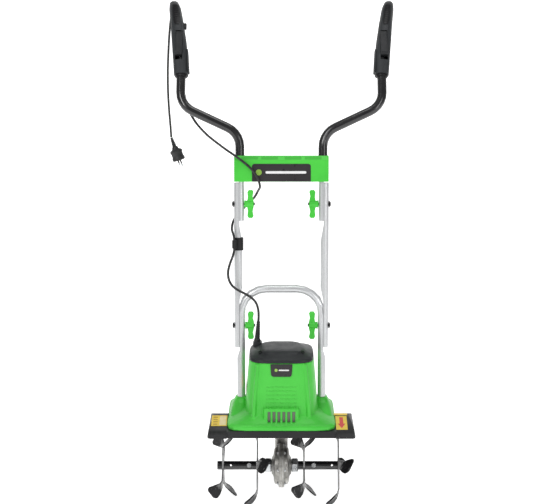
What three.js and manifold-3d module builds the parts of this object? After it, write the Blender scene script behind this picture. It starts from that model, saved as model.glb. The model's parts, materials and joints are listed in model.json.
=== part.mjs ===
// Electric mini cultivator: motor over a worm gearbox, four tine stars on one axle, folding tube handle.
// Millimetres, +Z up. The machine faces -Y and the operator stands at +Y, so the operator's right is -X.
// The model is built about the axle's mid point over the ground, and moved to its final origin at the end.
import * as THREE from 'three';
import { mergeVertices } from 'three/addons/utils/BufferGeometryUtils.js';
import Module from 'manifold-3d';

const wasm = await Module();
wasm.setup();

// ---------------------------------------------------------------- driving dimensions
const GAP = 0.3;                 // clearance that neighbours keep
const RAD = Math.PI / 180;
const WALL = 3;                  // plastic wall

const TINE_REACH = 106;          // axle centre to blade tip
const PARK_TURN = 22.5 * RAD;    // rotor angle at which the machine stands on two rows of tips
const AXLE_Z = TINE_REACH * Math.cos(PARK_TURN);
const STAR_X = [-160, -66, 62, 157];
const TINE_TUBE = { radius: 12, bore: 10.3, start: 46, end: 176, boltX: 88.5, spareX: 139 };
const AXLE_RADIUS = 10;
const BOLT_RADIUS = 4;

const WHEEL = { teeth: 24, pitch: 42, tip: 45, root: 38.5, halfWidth: 6 };
const WORM = { starts: 2, pitch: 10, tip: 12.6, root: 6.5, length: 44 };
const WORM_Y = WHEEL.pitch + WORM.pitch;
const MODULE = 1.6;              // motor stage
const PINION = { teeth: 7, z: [252, 261] };
const DRIVEN = { teeth: 28, z: [253, 260] };
const MOTOR_Y = WORM_Y - MODULE * (PINION.teeth + DRIVEN.teeth) / 2;

const HOOD = { halfWidth: 194.5, front: -120, rear: 150, top: 244, rearTop: 192, lip: 19 };
// Raised end of the hood beside the housing: its profile from the front lip over the crest.
const HOOD_END = {
  inner: 143.6, setBack: 4, lipTop: 237, brow: -112, browTop: 241.5, crestFront: -42, crest: -16, top: 259,
  shoulders: [[0, 150], [0, 230], [3, 243], [7, 251], [13, 256.5], [21, 260]],   // inset from the end, height
  corner: 8,
};
const PLATFORM = { halfWidth: 143, rear: 116 };
const HOUSING = { bottom: HOOD.top + GAP, top: 418 };
const CAP_TOP = 443.5;

const HANDLE_LEAN = 6 * RAD;     // the whole handle leans back
const FOOT = { y: 17.7, z: 292 };            // where the lower frame leaves its boots
const SILVER = { radius: 11, wall: 1.5 };
const BLACK = { radius: 12.5, wall: 1.2 };
const FRAME_X = 109.3;           // lower frame legs
const MID_X = 116;               // mid tubes
const GRIP_TUBE_X = 110.4;       // handle tubes at the crossbar
const JOINT_X = 113.2;           // plane where flattened tubes meet
const LOWER_BOLT = 197;          // heights along the handle, from the foot
const UPPER_BOLT = 526;
const FRAME_TOP = 296.6;
const FRAME_BEND = 68;
const MID_TUBE = { low: 138, lowFlat: 264, lowRound: 300, highRound: 426, highFlat: 472, high: 583 };
const STUB = { low: 481, flat: 586, round: 602, high: 640 };
const CROSSBAR = { low: 586, high: 655, halfWidth: 125.5, front: -21, rear: 18 };
const HANDLE_TUBE = {
  low: 604, slopeLow: 714, slopeHigh: 787, outX: 267.4, bend: 55, back: 20 * RAD, end: 920,
};

const KNOB = { inner: 74, outer: 91.6, halfHeight: 37.5, halfThick: 4.5, neck: 9 };
const GRIP = { start: 873, backStart: 20, backEnd: 72, curl: 2.5, length: 252, outward: 31 };
const LEVER = { from: 48, to: 120, halfWidth: 9.2, depth: 15, proud: 3.5 };
const LEAD_RADIUS = 3.2;

// ---------------------------------------------------------------- materials
const material = (color, roughness, metalness) =>
  new THREE.MeshStandardMaterial({ color, roughness, metalness });
const LOOK = {
  green: material(0x4fce48, 0.42, 0),
  black: material(0x2b2c2e, 0.5, 0),
  grey: material(0x47494c, 0.55, 0),
  rubber: material(0x161616, 0.75, 0),
  silver: material(0xd4d6d8, 0.35, 0.6),
  gloss: material(0x141415, 0.15, 0.3),
  diecast: material(0xa9a9a4, 0.45, 0.9),
  zinc: material(0xc3c7ca, 0.3, 0.95),
  tine: material(0x2a2b2d, 0.5, 0.7),
  steel: material(0x8d9094, 0.35, 0.95),
  copper: material(0xa8643a, 0.4, 0.9),
};

// ---------------------------------------------------------------- solids
function signedVolume(positions, index) {
  const [a, b, c] = [new THREE.Vector3(), new THREE.Vector3(), new THREE.Vector3()];
  let volume = 0;
  for (let i = 0; i < index.length; i += 3) {
    a.fromArray(positions, 3 * index[i]);
    b.fromArray(positions, 3 * index[i + 1]);
    c.fromArray(positions, 3 * index[i + 2]);
    volume += a.dot(b.cross(c));
  }
  return volume;
}

// A closed geometry becomes a manifold solid: vertices merged, slivers dropped, faces turned outward.
function solid(geometry) {
  const bare = geometry.clone();
  bare.deleteAttribute('normal');
  bare.deleteAttribute('uv');
  const merged = mergeVertices(bare, 1e-4);
  const corners = Array.from(merged.index.array);
  const triangles = [];
  for (let i = 0; i < corners.length; i += 3) {
    const [a, b, c] = corners.slice(i, i + 3);
    if (a !== b && b !== c && c !== a) triangles.push(a, b, c);
  }
  const positions = Float32Array.from(merged.attributes.position.array);
  if (signedVolume(positions, triangles) < 0) {
    for (let i = 0; i < triangles.length; i += 3) {
      [triangles[i + 1], triangles[i + 2]] = [triangles[i + 2], triangles[i + 1]];
    }
  }
  const triVerts = Uint32Array.from(triangles);
  return new wasm.Manifold(new wasm.Mesh({ numProp: 3, vertProperties: positions, triVerts }));
}

function geometryOf(body) {
  const { vertProperties, triVerts } = body.getMesh();
  const geometry = new THREE.BufferGeometry();
  geometry.setAttribute('position', new THREE.BufferAttribute(Float32Array.from(vertProperties), 3));
  geometry.setIndex(Array.from(triVerts));
  return geometry;
}

const join = (...bodies) => bodies.reduce((sum, body) => sum.add(body));
const cut = (body, ...tools) => tools.reduce((rest, tool) => rest.subtract(tool), body);

// Mirror a finished body across X = 0.
function mirrored(body) {
  const geometry = geometryOf(body);
  geometry.scale(-1, 1, 1);
  return solid(geometry);
}

const moved = (body, matrix) => solid(geometryOf(body).applyMatrix4(matrix));
const turnedAboutX = (body, angle) => moved(body, new THREE.Matrix4().makeRotationX(angle));
const shifted = (body, x, y, z) => moved(body, new THREE.Matrix4().makeTranslation(x, y, z));

function block([x0, x1], [y0, y1], [z0, z1]) {
  const geometry = new THREE.BoxGeometry(x1 - x0, y1 - y0, z1 - z0);
  return solid(geometry.translate((x0 + x1) / 2, (y0 + y1) / 2, (z0 + z1) / 2));
}

// Lathe profile of [radius, height] pairs about the Z axis through (x, y).
function lathe(profile, { sides = 16, x = 0, y = 0 } = {}) {
  const points = profile.map(([radius, height]) => new THREE.Vector2(radius, height));
  return solid(new THREE.LatheGeometry(points, sides).rotateX(Math.PI / 2).translate(x, y, 0));
}

// The same profile about the X axis through (y, z), heights becoming X.
function latheX(profile, { sides = 16, y = 0, z = 0 } = {}) {
  const points = profile.map(([radius, height]) => new THREE.Vector2(radius, height));
  return solid(new THREE.LatheGeometry(points, sides).rotateZ(-Math.PI / 2).translate(0, y, z));
}

const rod = (radius, from, to, place) => lathe([[0, from], [radius, from], [radius, to], [0, to]], place);
const rodX = (radius, from, to, place) => latheX([[0, from], [radius, from], [radius, to], [0, to]], place);
const ring = (inner, outer, from, to, place) =>
  lathe([[inner, from], [outer, from], [outer, to], [inner, to], [inner, from]], place);
const ringX = (inner, outer, from, to, place) =>
  latheX([[inner, from], [outer, from], [outer, to], [inner, to], [inner, from]], place);

function outlineShape(points) {
  return new THREE.Shape(points.map(([x, y]) => new THREE.Vector2(x, y)));
}

// Side profile of [y, z] pairs drawn out along X.
function profileX(points, from, to) {
  const options = { depth: to - from, bevelEnabled: false };
  const geometry = new THREE.ExtrudeGeometry(outlineShape(points), options);
  const toWorld = new THREE.Matrix4().set(0, 0, 1, from, 1, 0, 0, 0, 0, 1, 0, 0, 0, 0, 0, 1);
  return solid(geometry.applyMatrix4(toWorld));
}

// Plan outline of [x, y] pairs drawn out along Z.
function prism(points, from, to) {
  const options = { depth: to - from, bevelEnabled: false };
  const geometry = new THREE.ExtrudeGeometry(outlineShape(points), options);
  return solid(geometry.translate(0, 0, from));
}

// Rings of equally many points joined to one closed skin, with a fan over each end.
function loft(rings) {
  const count = rings[0].length;
  const middle = (points) =>
    points.reduce((sum, p) => sum.add(p), new THREE.Vector3()).divideScalar(count);
  const points = [...rings.flat(), middle(rings[0]), middle(rings.at(-1))];
  const index = [];
  const first = rings.length * count;
  const top = (rings.length - 1) * count;
  for (let i = 0; i < count; i++) {
    const next = (i + 1) % count;
    for (let k = 0; k + 1 < rings.length; k++) {
      const [a, b, c, d] = [k * count + i, k * count + next, (k + 1) * count + next, (k + 1) * count + i];
      index.push(a, b, c, a, c, d);
    }
    index.push(first, next, i, first + 1, top + i, top + next);
  }
  const geometry = new THREE.BufferGeometry().setFromPoints(points);
  geometry.setIndex(index);
  return solid(geometry);
}

// Superellipse outline at height z: power 2 is an ellipse, higher is boxier.
function roundedRing({ x = 0, y = 0, z, halfX, halfY, power = 4 }, sides = 24) {
  return Array.from({ length: sides }, (_, i) => {
    const angle = (i + 0.5) * 2 * Math.PI / sides;
    const [c, s] = [Math.cos(angle), Math.sin(angle)];
    const reach = (Math.abs(c) ** power + Math.abs(s) ** power) ** (-1 / power);
    return new THREE.Vector3(x + halfX * reach * c, y + halfY * reach * s, z);
  });
}

const tower = (levels, sides) => loft(levels.map((level) => roundedRing(level, sides)));
const inset = (levels, by) => levels.map((l) => ({ ...l, halfX: l.halfX - by, halfY: l.halfY - by }));

// ---------------------------------------------------------------- tubes and cords
// A route holds stops with tangents, close together in bends and far apart on straights.
class Route extends THREE.Curve {
  constructor(stops) {
    super();
    this.stops = stops;
  }

  stop(u) {
    return this.stops[Math.round(u * (this.stops.length - 1))];
  }

  getPointAt(u) {
    return this.stop(u).point.clone();
  }

  getTangentAt(u) {
    return this.stop(u).tangent.clone();
  }
}

// Straight runs between corners, each corner rounded to the bend radius where the run turns.
function bentRoute(corners, bend, arcSteps = 5) {
  const points = corners.map((corner) => new THREE.Vector3(...corner));
  const heading = (i) => points[i + 1].clone().sub(points[i]).normalize();
  const stops = [{ point: points[0], tangent: heading(0) }];
  for (let i = 1; i + 1 < points.length; i++) {
    const [before, after] = [heading(i - 1), heading(i)];
    const turn = before.angleTo(after);
    if (turn < 0.01) {
      stops.push({ point: points[i], tangent: after });
      continue;
    }
    const start = points[i].clone().addScaledVector(before, -bend * Math.tan(turn / 2));
    const inward = after.clone().addScaledVector(before, -after.dot(before)).normalize();
    for (let k = 0; k <= arcSteps; k++) {
      const angle = turn * k / arcSteps;
      const point = start.clone()
        .addScaledVector(before, bend * Math.sin(angle))
        .addScaledVector(inward, bend * (1 - Math.cos(angle)));
      const tangent = before.clone().multiplyScalar(Math.cos(angle))
        .addScaledVector(inward, Math.sin(angle));
      stops.push({ point, tangent });
    }
  }
  stops.push({ point: points.at(-1), tangent: heading(points.length - 2) });
  return stops;
}

function lengthened(stops, by) {
  const [first, last] = [stops[0], stops.at(-1)];
  const reach = (stop, amount) =>
    ({ ...stop, point: stop.point.clone().addScaledVector(stop.tangent, amount) });
  return [reach(first, -by), ...stops.slice(1, -1), reach(last, by)];
}

function swept(stops, radius, sides) {
  const circle = Array.from({ length: sides }, (_, i) => {
    const angle = (i + 0.5) * 2 * Math.PI / sides;
    return [radius * Math.cos(angle), radius * Math.sin(angle)];
  });
  const extrudePath = new Route(stops);
  return new THREE.ExtrudeGeometry(outlineShape(circle), { steps: stops.length - 1, extrudePath });
}

// Press every vertex: press(x, z) gives the furthest |x| that the tube keeps at height z.
function pressed(geometry, keep) {
  const place = geometry.attributes.position;
  for (let i = 0; i < place.count; i++) place.setX(i, keep(place.getX(i), place.getZ(i)));
  return geometry;
}

function hollowTube(stops, { radius, wall }, keep = null, sides = 12) {
  const skin = swept(stops, radius, sides);
  const bore = swept(lengthened(stops, 1), radius - wall, sides);
  if (keep) {
    pressed(skin, keep(0));
    pressed(bore, keep(wall));
  }
  return cut(solid(skin), solid(bore));
}

function cord(points, radius = LEAD_RADIUS, sides = 8, step = 18) {
  const vectors = points.map((p) => new THREE.Vector3(...p));
  const curve = new THREE.CatmullRomCurve3(vectors, false, 'centripetal');
  const steps = Math.ceil(curve.getLength() / step);
  const stops = Array.from({ length: steps + 1 }, (_, i) => ({
    point: curve.getPointAt(i / steps),
    tangent: curve.getTangentAt(i / steps),
  }));
  return solid(swept(stops, radius, sides));
}

// 0 before start, 1 after end, straight between.
const ramp = (value, start, end) => Math.min(1, Math.max(0, (value - start) / (end - start)));

// ---------------------------------------------------------------- scene graph
const machine = new THREE.Group();
const handle = new THREE.Group();
handle.position.set(0, FOOT.y, FOOT.z);
handle.rotation.x = -HANDLE_LEAN;
machine.add(handle);

function place(group, name, body, look) {
  const mesh = new THREE.Mesh(geometryOf(body), look);
  mesh.name = name;
  group.add(mesh);
}

// A piece drawn for the left (+X) side, and its mirror image on the right.
function placePair(group, name, body, look) {
  place(group, `${name}_left`, body, look);
  place(group, `${name}_right`, mirrored(body), look);
}

// ---------------------------------------------------------------- gears
function gearOutline(teeth, root, tip, rootShare = 0.6, tipShare = 0.22) {
  const points = [];
  for (let i = 0; i < teeth; i++) {
    const middle = i * 2 * Math.PI / teeth;
    const half = Math.PI / teeth;
    const corners = [[root, -rootShare], [tip, -tipShare], [tip, tipShare], [root, rootShare]];
    for (const [radius, share] of corners) {
      const angle = middle + share * half;
      points.push([radius * Math.cos(angle), radius * Math.sin(angle)]);
    }
  }
  return points;
}

function twisted(body, perMillimetre) {
  const geometry = geometryOf(body);
  const positions = geometry.attributes.position;
  const point = new THREE.Vector3();
  for (let i = 0; i < positions.count; i++) {
    point.fromBufferAttribute(positions, i);
    point.applyAxisAngle(new THREE.Vector3(1, 0, 0), perMillimetre * point.x);
    positions.setXYZ(i, point.x, point.y, point.z);
  }
  return solid(geometry);
}

function wormLead() {
  return WORM.starts * 2 * Math.PI * WHEEL.pitch / WHEEL.teeth;
}

function wormWheel() {
  const outline = gearOutline(WHEEL.teeth, WHEEL.root, WHEEL.tip, 0.42, 0.22);
  const blank = profileX(outline, -WHEEL.halfWidth, WHEEL.halfWidth);
  const slant = wormLead() / (2 * Math.PI * WORM.pitch) / WHEEL.pitch;
  const hub = ringX(AXLE_RADIUS + 0.1 + GAP, 18, -9, 9);
  const toothed = cut(twisted(blank, slant), rodX(14, -20, 20));
  return shifted(turnedAboutX(join(toothed, hub), Math.PI / WHEEL.teeth), 0, 0, AXLE_Z);
}

function wormThread(start) {
  const stepsPerTurn = 10;
  const lead = wormLead();
  const steps = Math.round(WORM.length / lead * stepsPerTurn);
  const [rootHalf, tipHalf] = [1.9, 1.1];
  const rings = Array.from({ length: steps + 1 }, (_, i) => {
    const angle = start + (i - steps / 2) * 2 * Math.PI / stepsPerTurn;
    const z = AXLE_Z + lead * (i - steps / 2) / stepsPerTurn;
    const corner = (radius, dz) =>
      new THREE.Vector3(radius * Math.cos(angle), WORM_Y + radius * Math.sin(angle), z + dz);
    return [corner(WORM.root - 1, -rootHalf), corner(WORM.tip, -tipHalf), corner(WORM.tip, tipHalf),
      corner(WORM.root - 1, rootHalf)];
  });
  return loft(rings);
}

function wormShaft() {
  const core = lathe([[0, 71], [5, 71], [WORM.root, 74], [WORM.root, 228], [5, 230], [5, 262], [0, 262]],
    { y: WORM_Y, sides: 12 });
  const threads = [0, 1].map((i) => wormThread((i * 2 / WORM.starts - 0.5) * Math.PI));
  return join(core, ...threads);
}

const spur = (teeth, [from, to], y, turn) => {
  const radius = MODULE * teeth / 2;
  const gear = prism(gearOutline(teeth, radius - 1.25 * MODULE, radius + 0.8 * MODULE), from, to);
  return shifted(moved(gear, new THREE.Matrix4().makeRotationZ(turn)), 0, y, 0);
};

function drivenGear() {
  const gear = spur(DRIVEN.teeth, DRIVEN.z, WORM_Y, Math.PI / DRIVEN.teeth - Math.PI / 2);
  return cut(gear, rod(5 + GAP, 240, 270, { y: WORM_Y }));
}

// ---------------------------------------------------------------- tine rotor
// One arm pointing down: a strip with its width along Y that bends and twists towards +X or -X at the blade.
const ARM = [
  { reach: 14, out: 0, halfWidth: 12, twist: 0 }, { reach: 64, out: 0, halfWidth: 8.5, twist: 0 },
  { reach: 75, out: 2.5, halfWidth: 9, twist: -0.2 }, { reach: 90, out: 13, halfWidth: 16, twist: -0.45 },
  { reach: 99, out: 22, halfWidth: 19.5, twist: -0.5 },
  { reach: 103.3, out: 26.2, halfWidth: 17, twist: -0.5 },
  { reach: TINE_REACH, out: 28.8, halfWidth: 11.24, twist: -0.5 },
];
const TINE_THICKNESS = 4;

function tineArm(side, turn) {
  const rings = ARM.map(({ reach, out, halfWidth, twist }, i) => {
    const [before, after] = [ARM[Math.max(0, i - 1)], ARM[Math.min(ARM.length - 1, i + 1)]];
    const run = Math.hypot(after.reach - before.reach, after.out - before.out);
    const across = [(after.reach - before.reach) / run, (after.out - before.out) / run];
    const corner = (face, edge) => new THREE.Vector3(
      side * (out + edge * halfWidth * twist + face * across[0] * TINE_THICKNESS / 2),
      edge * halfWidth,
      -reach + face * across[1] * TINE_THICKNESS / 2,
    );
    return [corner(-1, -1), corner(1, -1), corner(1, 1), corner(-1, 1)];
  });
  return turnedAboutX(loft(rings), -turn);
}

function tineStar(index) {
  const phase = index % 2 ? PARK_TURN : -PARK_TURN;
  const firstSide = index % 2 ? -1 : 1;
  const arms = [0, 1, 2, 3].map((k) => tineArm(firstSide * (k % 2 ? -1 : 1), phase + k * Math.PI / 2));
  const hub = rodX(24, -TINE_THICKNESS / 2, TINE_THICKNESS / 2);
  const hole = rodX(TINE_TUBE.radius + GAP, -10, 10);
  return shifted(cut(join(hub, ...arms), hole), STAR_X[index], 0, AXLE_Z);
}

// A rod across the axle along the parked bolt direction, which faces forward and a little up.
function crossRod(radius, from, to, x, sides = 10) {
  const upright = rod(radius, from, to, { sides });
  return shifted(turnedAboutX(upright, Math.PI / 2 - PARK_TURN), x, 0, AXLE_Z);
}

function tineTube() {
  const { radius, bore, start, end, boltX, spareX } = TINE_TUBE;
  const tube = shifted(ringX(bore, radius, start, end, { sides: 20 }), 0, 0, AXLE_Z);
  return cut(tube, crossRod(BOLT_RADIUS + GAP, -20, 20, boltX), crossRod(3, -20, 20, spareX));
}

function tineBolt() {
  const { radius, boltX } = TINE_TUBE;
  const face = radius + GAP;
  return join(crossRod(BOLT_RADIUS, -face - 6.5, face + 8, boltX), crossRod(6.6, face, face + 5, boltX, 6),
    crossRod(6.6, -face - 5.5, -face, boltX, 6));
}

function axleShaft() {
  const shaft = shifted(rodX(AXLE_RADIUS, -101, 101), 0, 0, AXLE_Z);
  const holes = [-1, 1].map((side) => crossRod(BOLT_RADIUS + GAP, -20, 20, side * TINE_TUBE.boltX));
  return cut(shaft, ...holes);
}

// ---------------------------------------------------------------- gearbox
const GEARBOX = { rim: 60, drum: 51, boss: 22, bossEnd: 26.9, neckHalf: 17.5, neckDepth: 19 };
const BEARING = { inner: AXLE_RADIUS + GAP, outer: 16, from: 15, to: 24 };

function gearboxHalf() {
  const { rim, drum, boss, bossEnd, neckHalf, neckDepth } = GEARBOX;
  const split = GAP / 2;
  const about = { z: AXLE_Z, sides: 26 };
  const drumBody = latheX([[0, split], [rim, split], [rim, 5.5], [rim - 2.5, 8], [drum + 1, 8],
    [drum - 1, 17], [drum - 6, 20], [boss + 6, 22.5], [boss, bossEnd], [0, bossEnd]], about);
  const [front, back] = [WORM_Y - neckDepth, WORM_Y + neckDepth];
  const neck = prism([[split, front], [neckHalf - 6, front], [neckHalf, front + 8], [neckHalf, back - 8],
    [neckHalf - 6, back], [split, back]], 60, 236);
  const flange = prism([[split, front - 10], [24, front - 10], [32, front], [32, back], [24, back + 10],
    [split, back + 10]], 234, HOOD.top - WALL - GAP);
  const wheelRoom = latheX([[0, -1], [WHEEL.tip + 2, -1], [WHEEL.tip + 2, 11], [20, 13], [0, 13]], about);
  const bearingRoom = rodX(BEARING.outer + GAP, 12, BEARING.to + GAP, { z: AXLE_Z, sides: 20 });
  const axleHole = rodX(AXLE_RADIUS + 0.6, 0, 40, { z: AXLE_Z });
  const wormRoom = rod(WORM.tip + 1.6, 66, 260, { y: WORM_Y });
  return cut(join(drumBody, neck, flange), wheelRoom, bearingRoom, axleHole, wormRoom);
}

const axleBearing = () =>
  shifted(ringX(BEARING.inner, BEARING.outer, BEARING.from, BEARING.to), 0, 0, AXLE_Z);
const wormBearing = () => ring(WORM.root + GAP, WORM.tip + 1.3, 212, 226, { y: WORM_Y });

function hexCollar() {
  const [from, to] = [GEARBOX.bossEnd + GAP, TINE_TUBE.start - GAP];
  const outer = 18 / Math.cos(Math.PI / 6);
  const profile = [[AXLE_RADIUS + GAP, from], [outer - 3, from], [outer, from + 3], [outer, to - 3],
    [outer - 3, to], [AXLE_RADIUS + GAP, to], [AXLE_RADIUS + GAP, from]];
  const nut = latheX(profile, { sides: 6 });
  const bore = rodX(AXLE_RADIUS + GAP, from - 1, to + 1);
  return shifted(cut(nut, bore), 0, 0, AXLE_Z);
}

// ---------------------------------------------------------------- motor
function gearCarrier() {
  const from = HOOD.top + GAP;
  const levels = (halfX, halfY, low, high) => [low, high].map((z) => ({ y: 45, z, halfX, halfY, power: 5 }));
  const cup = tower(levels(33, 37, from, 268), 20);
  const room = tower(levels(28.5, 33.5, from - 1, 263), 20);
  return cut(cup, room, rod(5.5, 250, 280, { y: MOTOR_Y }));
}

const statorCore = () => ring(27.2, 46, 290, 350, { y: MOTOR_Y, sides: 20 });

function armatureCore() {
  const bore = 5 + GAP;
  return lathe([[bore, 284], [21, 284], [21, 293], [26.4, 294], [26.4, 346], [21, 347], [21, 356],
    [13.5, 359], [13.5, 380], [bore, 380], [bore, 284]], { y: MOTOR_Y, sides: 18 });
}

function motorShaft() {
  const shaft = lathe([[0, 250.5], [3.4, 250.5], [3.4, 263], [5, 265], [5, 404], [0, 404]],
    { y: MOTOR_Y, sides: 16 });
  return join(shaft, spur(PINION.teeth, PINION.z, MOTOR_Y, Math.PI / 2));
}

function coolingFan() {
  const hub = ring(5 + GAP, 12, 270, 281, { y: MOTOR_Y });
  const disc = ring(8, 40, 270, 272.5, { y: MOTOR_Y, sides: 20 });
  const blade = block([11, 39], [-1, 1], [271, 281]);
  const blades = Array.from({ length: 7 }, (_, i) =>
    shifted(moved(blade, new THREE.Matrix4().makeRotationZ(i * 2 * Math.PI / 7)), 0, MOTOR_Y, 0));
  return join(hub, disc, ...blades);
}

// ---------------------------------------------------------------- hood and housing
function hoodBody(thin) {
  const { halfWidth, front, rear, top, rearTop, lip } = HOOD;
  const { inner, setBack, lipTop, brow, browTop, crestFront, crest, top: endTop } = HOOD_END;
  const low = top - lip - (thin ? 8 : 0);
  const rearLow = rearTop - lip - (thin ? 8 : 0);
  const raised = [[front + thin, low], [0, low], [rear - thin, rearLow], [rear - thin, rearTop - 0.8 * thin],
    [crest, endTop - 3 - thin], [crest - 12, endTop - thin], [crestFront, endTop - 2 - thin],
    [brow + 0.6 * thin, browTop - thin], [front + thin, lipTop - 0.6 * thin]];
  const left = profileX(raised, inner + thin, halfWidth - thin);
  const { halfWidth: wide, rear: flatEnd } = PLATFORM;
  const middleFront = front + setBack + thin;
  const middle = profileX([[middleFront, low], [0, low], [rear - thin, rearLow],
    [rear - thin, rearTop + 12 - thin], [flatEnd - 0.4 * thin, top - thin], [middleFront, top - thin]],
  thin - wide - 1, wide + 1 - thin);
  return join(middle, left, mirrored(left)).intersect(hoodLimits(thin));
}

// The rounded shoulders of the hood's ends as seen from the front, with its corners cut off in plan.
function hoodLimits(thin) {
  const { halfWidth, front, rear } = HOOD;
  const { shoulders, corner } = HOOD_END;
  const half = shoulders.map(([inward, z]) => [halfWidth - thin - inward, z - (z > 150 ? thin : 0)]);
  const frontView = prism([...half, ...half.map(([x, z]) => [-x, z]).reverse()], -rear, -front);
  const [x, near, far] = [halfWidth - thin, front + thin, rear - thin];
  const round = 0.3 * corner;
  const quarter = [[x - corner, near], [x - round, near + round], [x, near + corner], [x, far - corner],
    [x - round, far - round], [x - corner, far]];
  const plan = prism([...quarter, ...quarter.map(([a, b]) => [-a, b]).reverse()], 140, 280);
  return turnedAboutX(frontView, Math.PI / 2).intersect(plan);
}

function hood() {
  const { halfWidth, front, rear, top } = HOOD;
  const neckHole = block([-20, 20], [WORM_Y - 22, WORM_Y + 22], [200, 260]);
  const lipBack = front + HOOD_END.setBack + WALL;
  const through = profileX([[lipBack, 200], [rear - WALL, 150], [rear - WALL, 187], [51, top - 17],
    [20, top - 8], [-20, top - 8], [lipBack, top - 14]], WALL + 2 - halfWidth, halfWidth - WALL - 2);
  return cut(hoodBody(0), hoodBody(WALL), through, neckHole);
}

const SKIRT = [
  { z: HOUSING.bottom, halfX: 141, halfY: 115, power: 6 }, { z: 253, halfX: 140.5, halfY: 114.5, power: 6 },
  { z: 259, halfX: 135, halfY: 107, power: 5 }, { z: 274, halfX: 99, halfY: 91, power: 4 },
];
const MOTOR_BODY = [
  { z: HOUSING.bottom, halfX: 97, halfY: 89, power: 4.5 }, { z: 317, halfX: 95, halfY: 87, power: 4.5 },
  { z: HOUSING.top, halfX: 86.5, halfY: 80, power: 4.5 },
];
const BOOT = [
  { x: 118, y: 2, z: HOUSING.bottom, halfX: 22.5, halfY: 72, power: 4 },
  { x: 117, y: 10, z: 272, halfX: 19.5, halfY: 46, power: 3.5 },
  { x: 112, y: 17, z: 284, halfX: 17, halfY: 26, power: 3.2 },
  { x: 110, y: 17.5, z: 294, halfX: 14, halfY: 17, power: 2.8 },
];

function housingShell(levels, by = 0) {
  if (!by) return levels;
  const last = levels.length - 1;
  const drop = (i) => (i === 0 ? 5 : i === last ? by : 0);
  return inset(levels, by).map((level, i) => ({ ...level, z: level.z - drop(i) }));
}

function legHole() {
  const upright = rod(SILVER.radius + GAP, -60, 20, { x: FRAME_X });
  return shifted(turnedAboutX(upright, -HANDLE_LEAN), 0, FOOT.y, FOOT.z);
}

function housing() {
  const boots = (by) => {
    const boot = tower(housingShell(BOOT, by), 16);
    return [boot, mirrored(boot)];
  };
  const outside = join(tower(SKIRT, 32), tower(MOTOR_BODY, 32), ...boots(0));
  const openTop = inset(MOTOR_BODY, WALL).map((l, i) => ({ ...l, z: l.z + [-5, 0, 1][i] }));
  const inside = join(tower(housingShell(SKIRT, WALL), 24), tower(openTop, 24), ...boots(WALL));
  const slots = Array.from({ length: 6 }, (_, i) => {
    const x = (i - 2.5) * 13;
    return block([x - 4, x + 4], [-110, -70], [258, 292]);
  });
  const legs = legHole();
  return cut(outside, inside, ...slots, legs, mirrored(legs));
}

const CAP = [
  { z: HOUSING.top + GAP, halfX: 86, halfY: 80, power: 4.5 }, { z: 431, halfX: 83, halfY: 77, power: 4.5 },
  { z: 434, halfX: 79, halfY: 73, power: 4.5 }, { z: 441, halfX: 60, halfY: 58, power: 4 },
  { z: CAP_TOP, halfX: 38, halfY: 38, power: 3 },
];
const TURRET = { x: -65, y: 42, top: 442 };

function motorCap() {
  const room = inset(CAP, WALL).map((l, i) => ({ ...l, z: i ? l.z - WALL : l.z - 1 }));
  const shell = cut(tower(CAP, 28), tower(room, 20));
  const turret = tower([430, TURRET.top].map((z) => ({ ...TURRET, z, halfX: 12, halfY: 12, power: 5 })), 12);
  return join(shell, turret);
}

function strainRelief() {
  const body = lathe([[0, 0], [9, 0], [9, 5], [7.4, 8], [5, 54], [0, 54]], { sides: 16 });
  const lean = new THREE.Matrix4().makeRotationY(4 * RAD);
  return shifted(moved(body, lean), TURRET.x - 1, TURRET.y - 1, TURRET.top + 1);
}

// ---------------------------------------------------------------- handle tubes, along the handle line
const boltHoleX = (z) => rodX(BOLT_RADIUS + GAP, 60, 140, { z, sides: 10 });

function lowerFrame() {
  const { low } = MID_TUBE;
  const side = (x) => [[x, 0, -40], [x, 0, low - 30], [x, 0, low - 8], [x, 0, FRAME_TOP]];
  const stops = bentRoute([...side(-FRAME_X), ...side(FRAME_X).reverse()], FRAME_BEND);
  const keep = (wall) => (x, z) => {
    const flat = ramp(z, low - 30, low - 8);
    const limit = FRAME_X + SILVER.radius + flat * (JOINT_X - GAP / 2 - FRAME_X - SILVER.radius) - wall;
    return Math.sign(x) * Math.min(Math.abs(x), limit);
  };
  const holes = boltHoleX(LOWER_BOLT);
  return cut(hollowTube(stops, SILVER, keep), holes, mirrored(holes));
}

function midTube() {
  const { low, lowFlat, lowRound, highRound, highFlat, high } = MID_TUBE;
  const stops = bentRoute([low, lowFlat, lowRound, highRound, highFlat, high].map((z) => [MID_X, 0, z]), 1);
  const keep = (wall) => (x, z) => {
    const flat = 1 - ramp(z, lowFlat, lowRound) + ramp(z, highRound, highFlat);
    const limit = MID_X - SILVER.radius + flat * (JOINT_X + GAP / 2 - MID_X + SILVER.radius) + wall;
    return Math.max(x, limit);
  };
  return cut(hollowTube(stops, SILVER, keep), boltHoleX(LOWER_BOLT), boltHoleX(UPPER_BOLT));
}

function stubTube() {
  const { low, flat: flatEnd, round, high } = STUB;
  const stops = bentRoute([low, flatEnd, round, high].map((z) => [GRIP_TUBE_X, 0, z]), 1);
  const keep = (wall) => (x, z) => {
    const flat = 1 - ramp(z, flatEnd, round);
    const outside = GRIP_TUBE_X + SILVER.radius;
    const limit = outside + flat * (JOINT_X - GAP / 2 - outside) - wall;
    return Math.min(x, limit);
  };
  return cut(hollowTube(stops, SILVER, keep), boltHoleX(UPPER_BOLT));
}

const backwards = (from, along) => [
  HANDLE_TUBE.outX,
  (along - from) * Math.sin(HANDLE_TUBE.back),
  from + (along - from) * Math.cos(HANDLE_TUBE.back),
];

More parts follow.
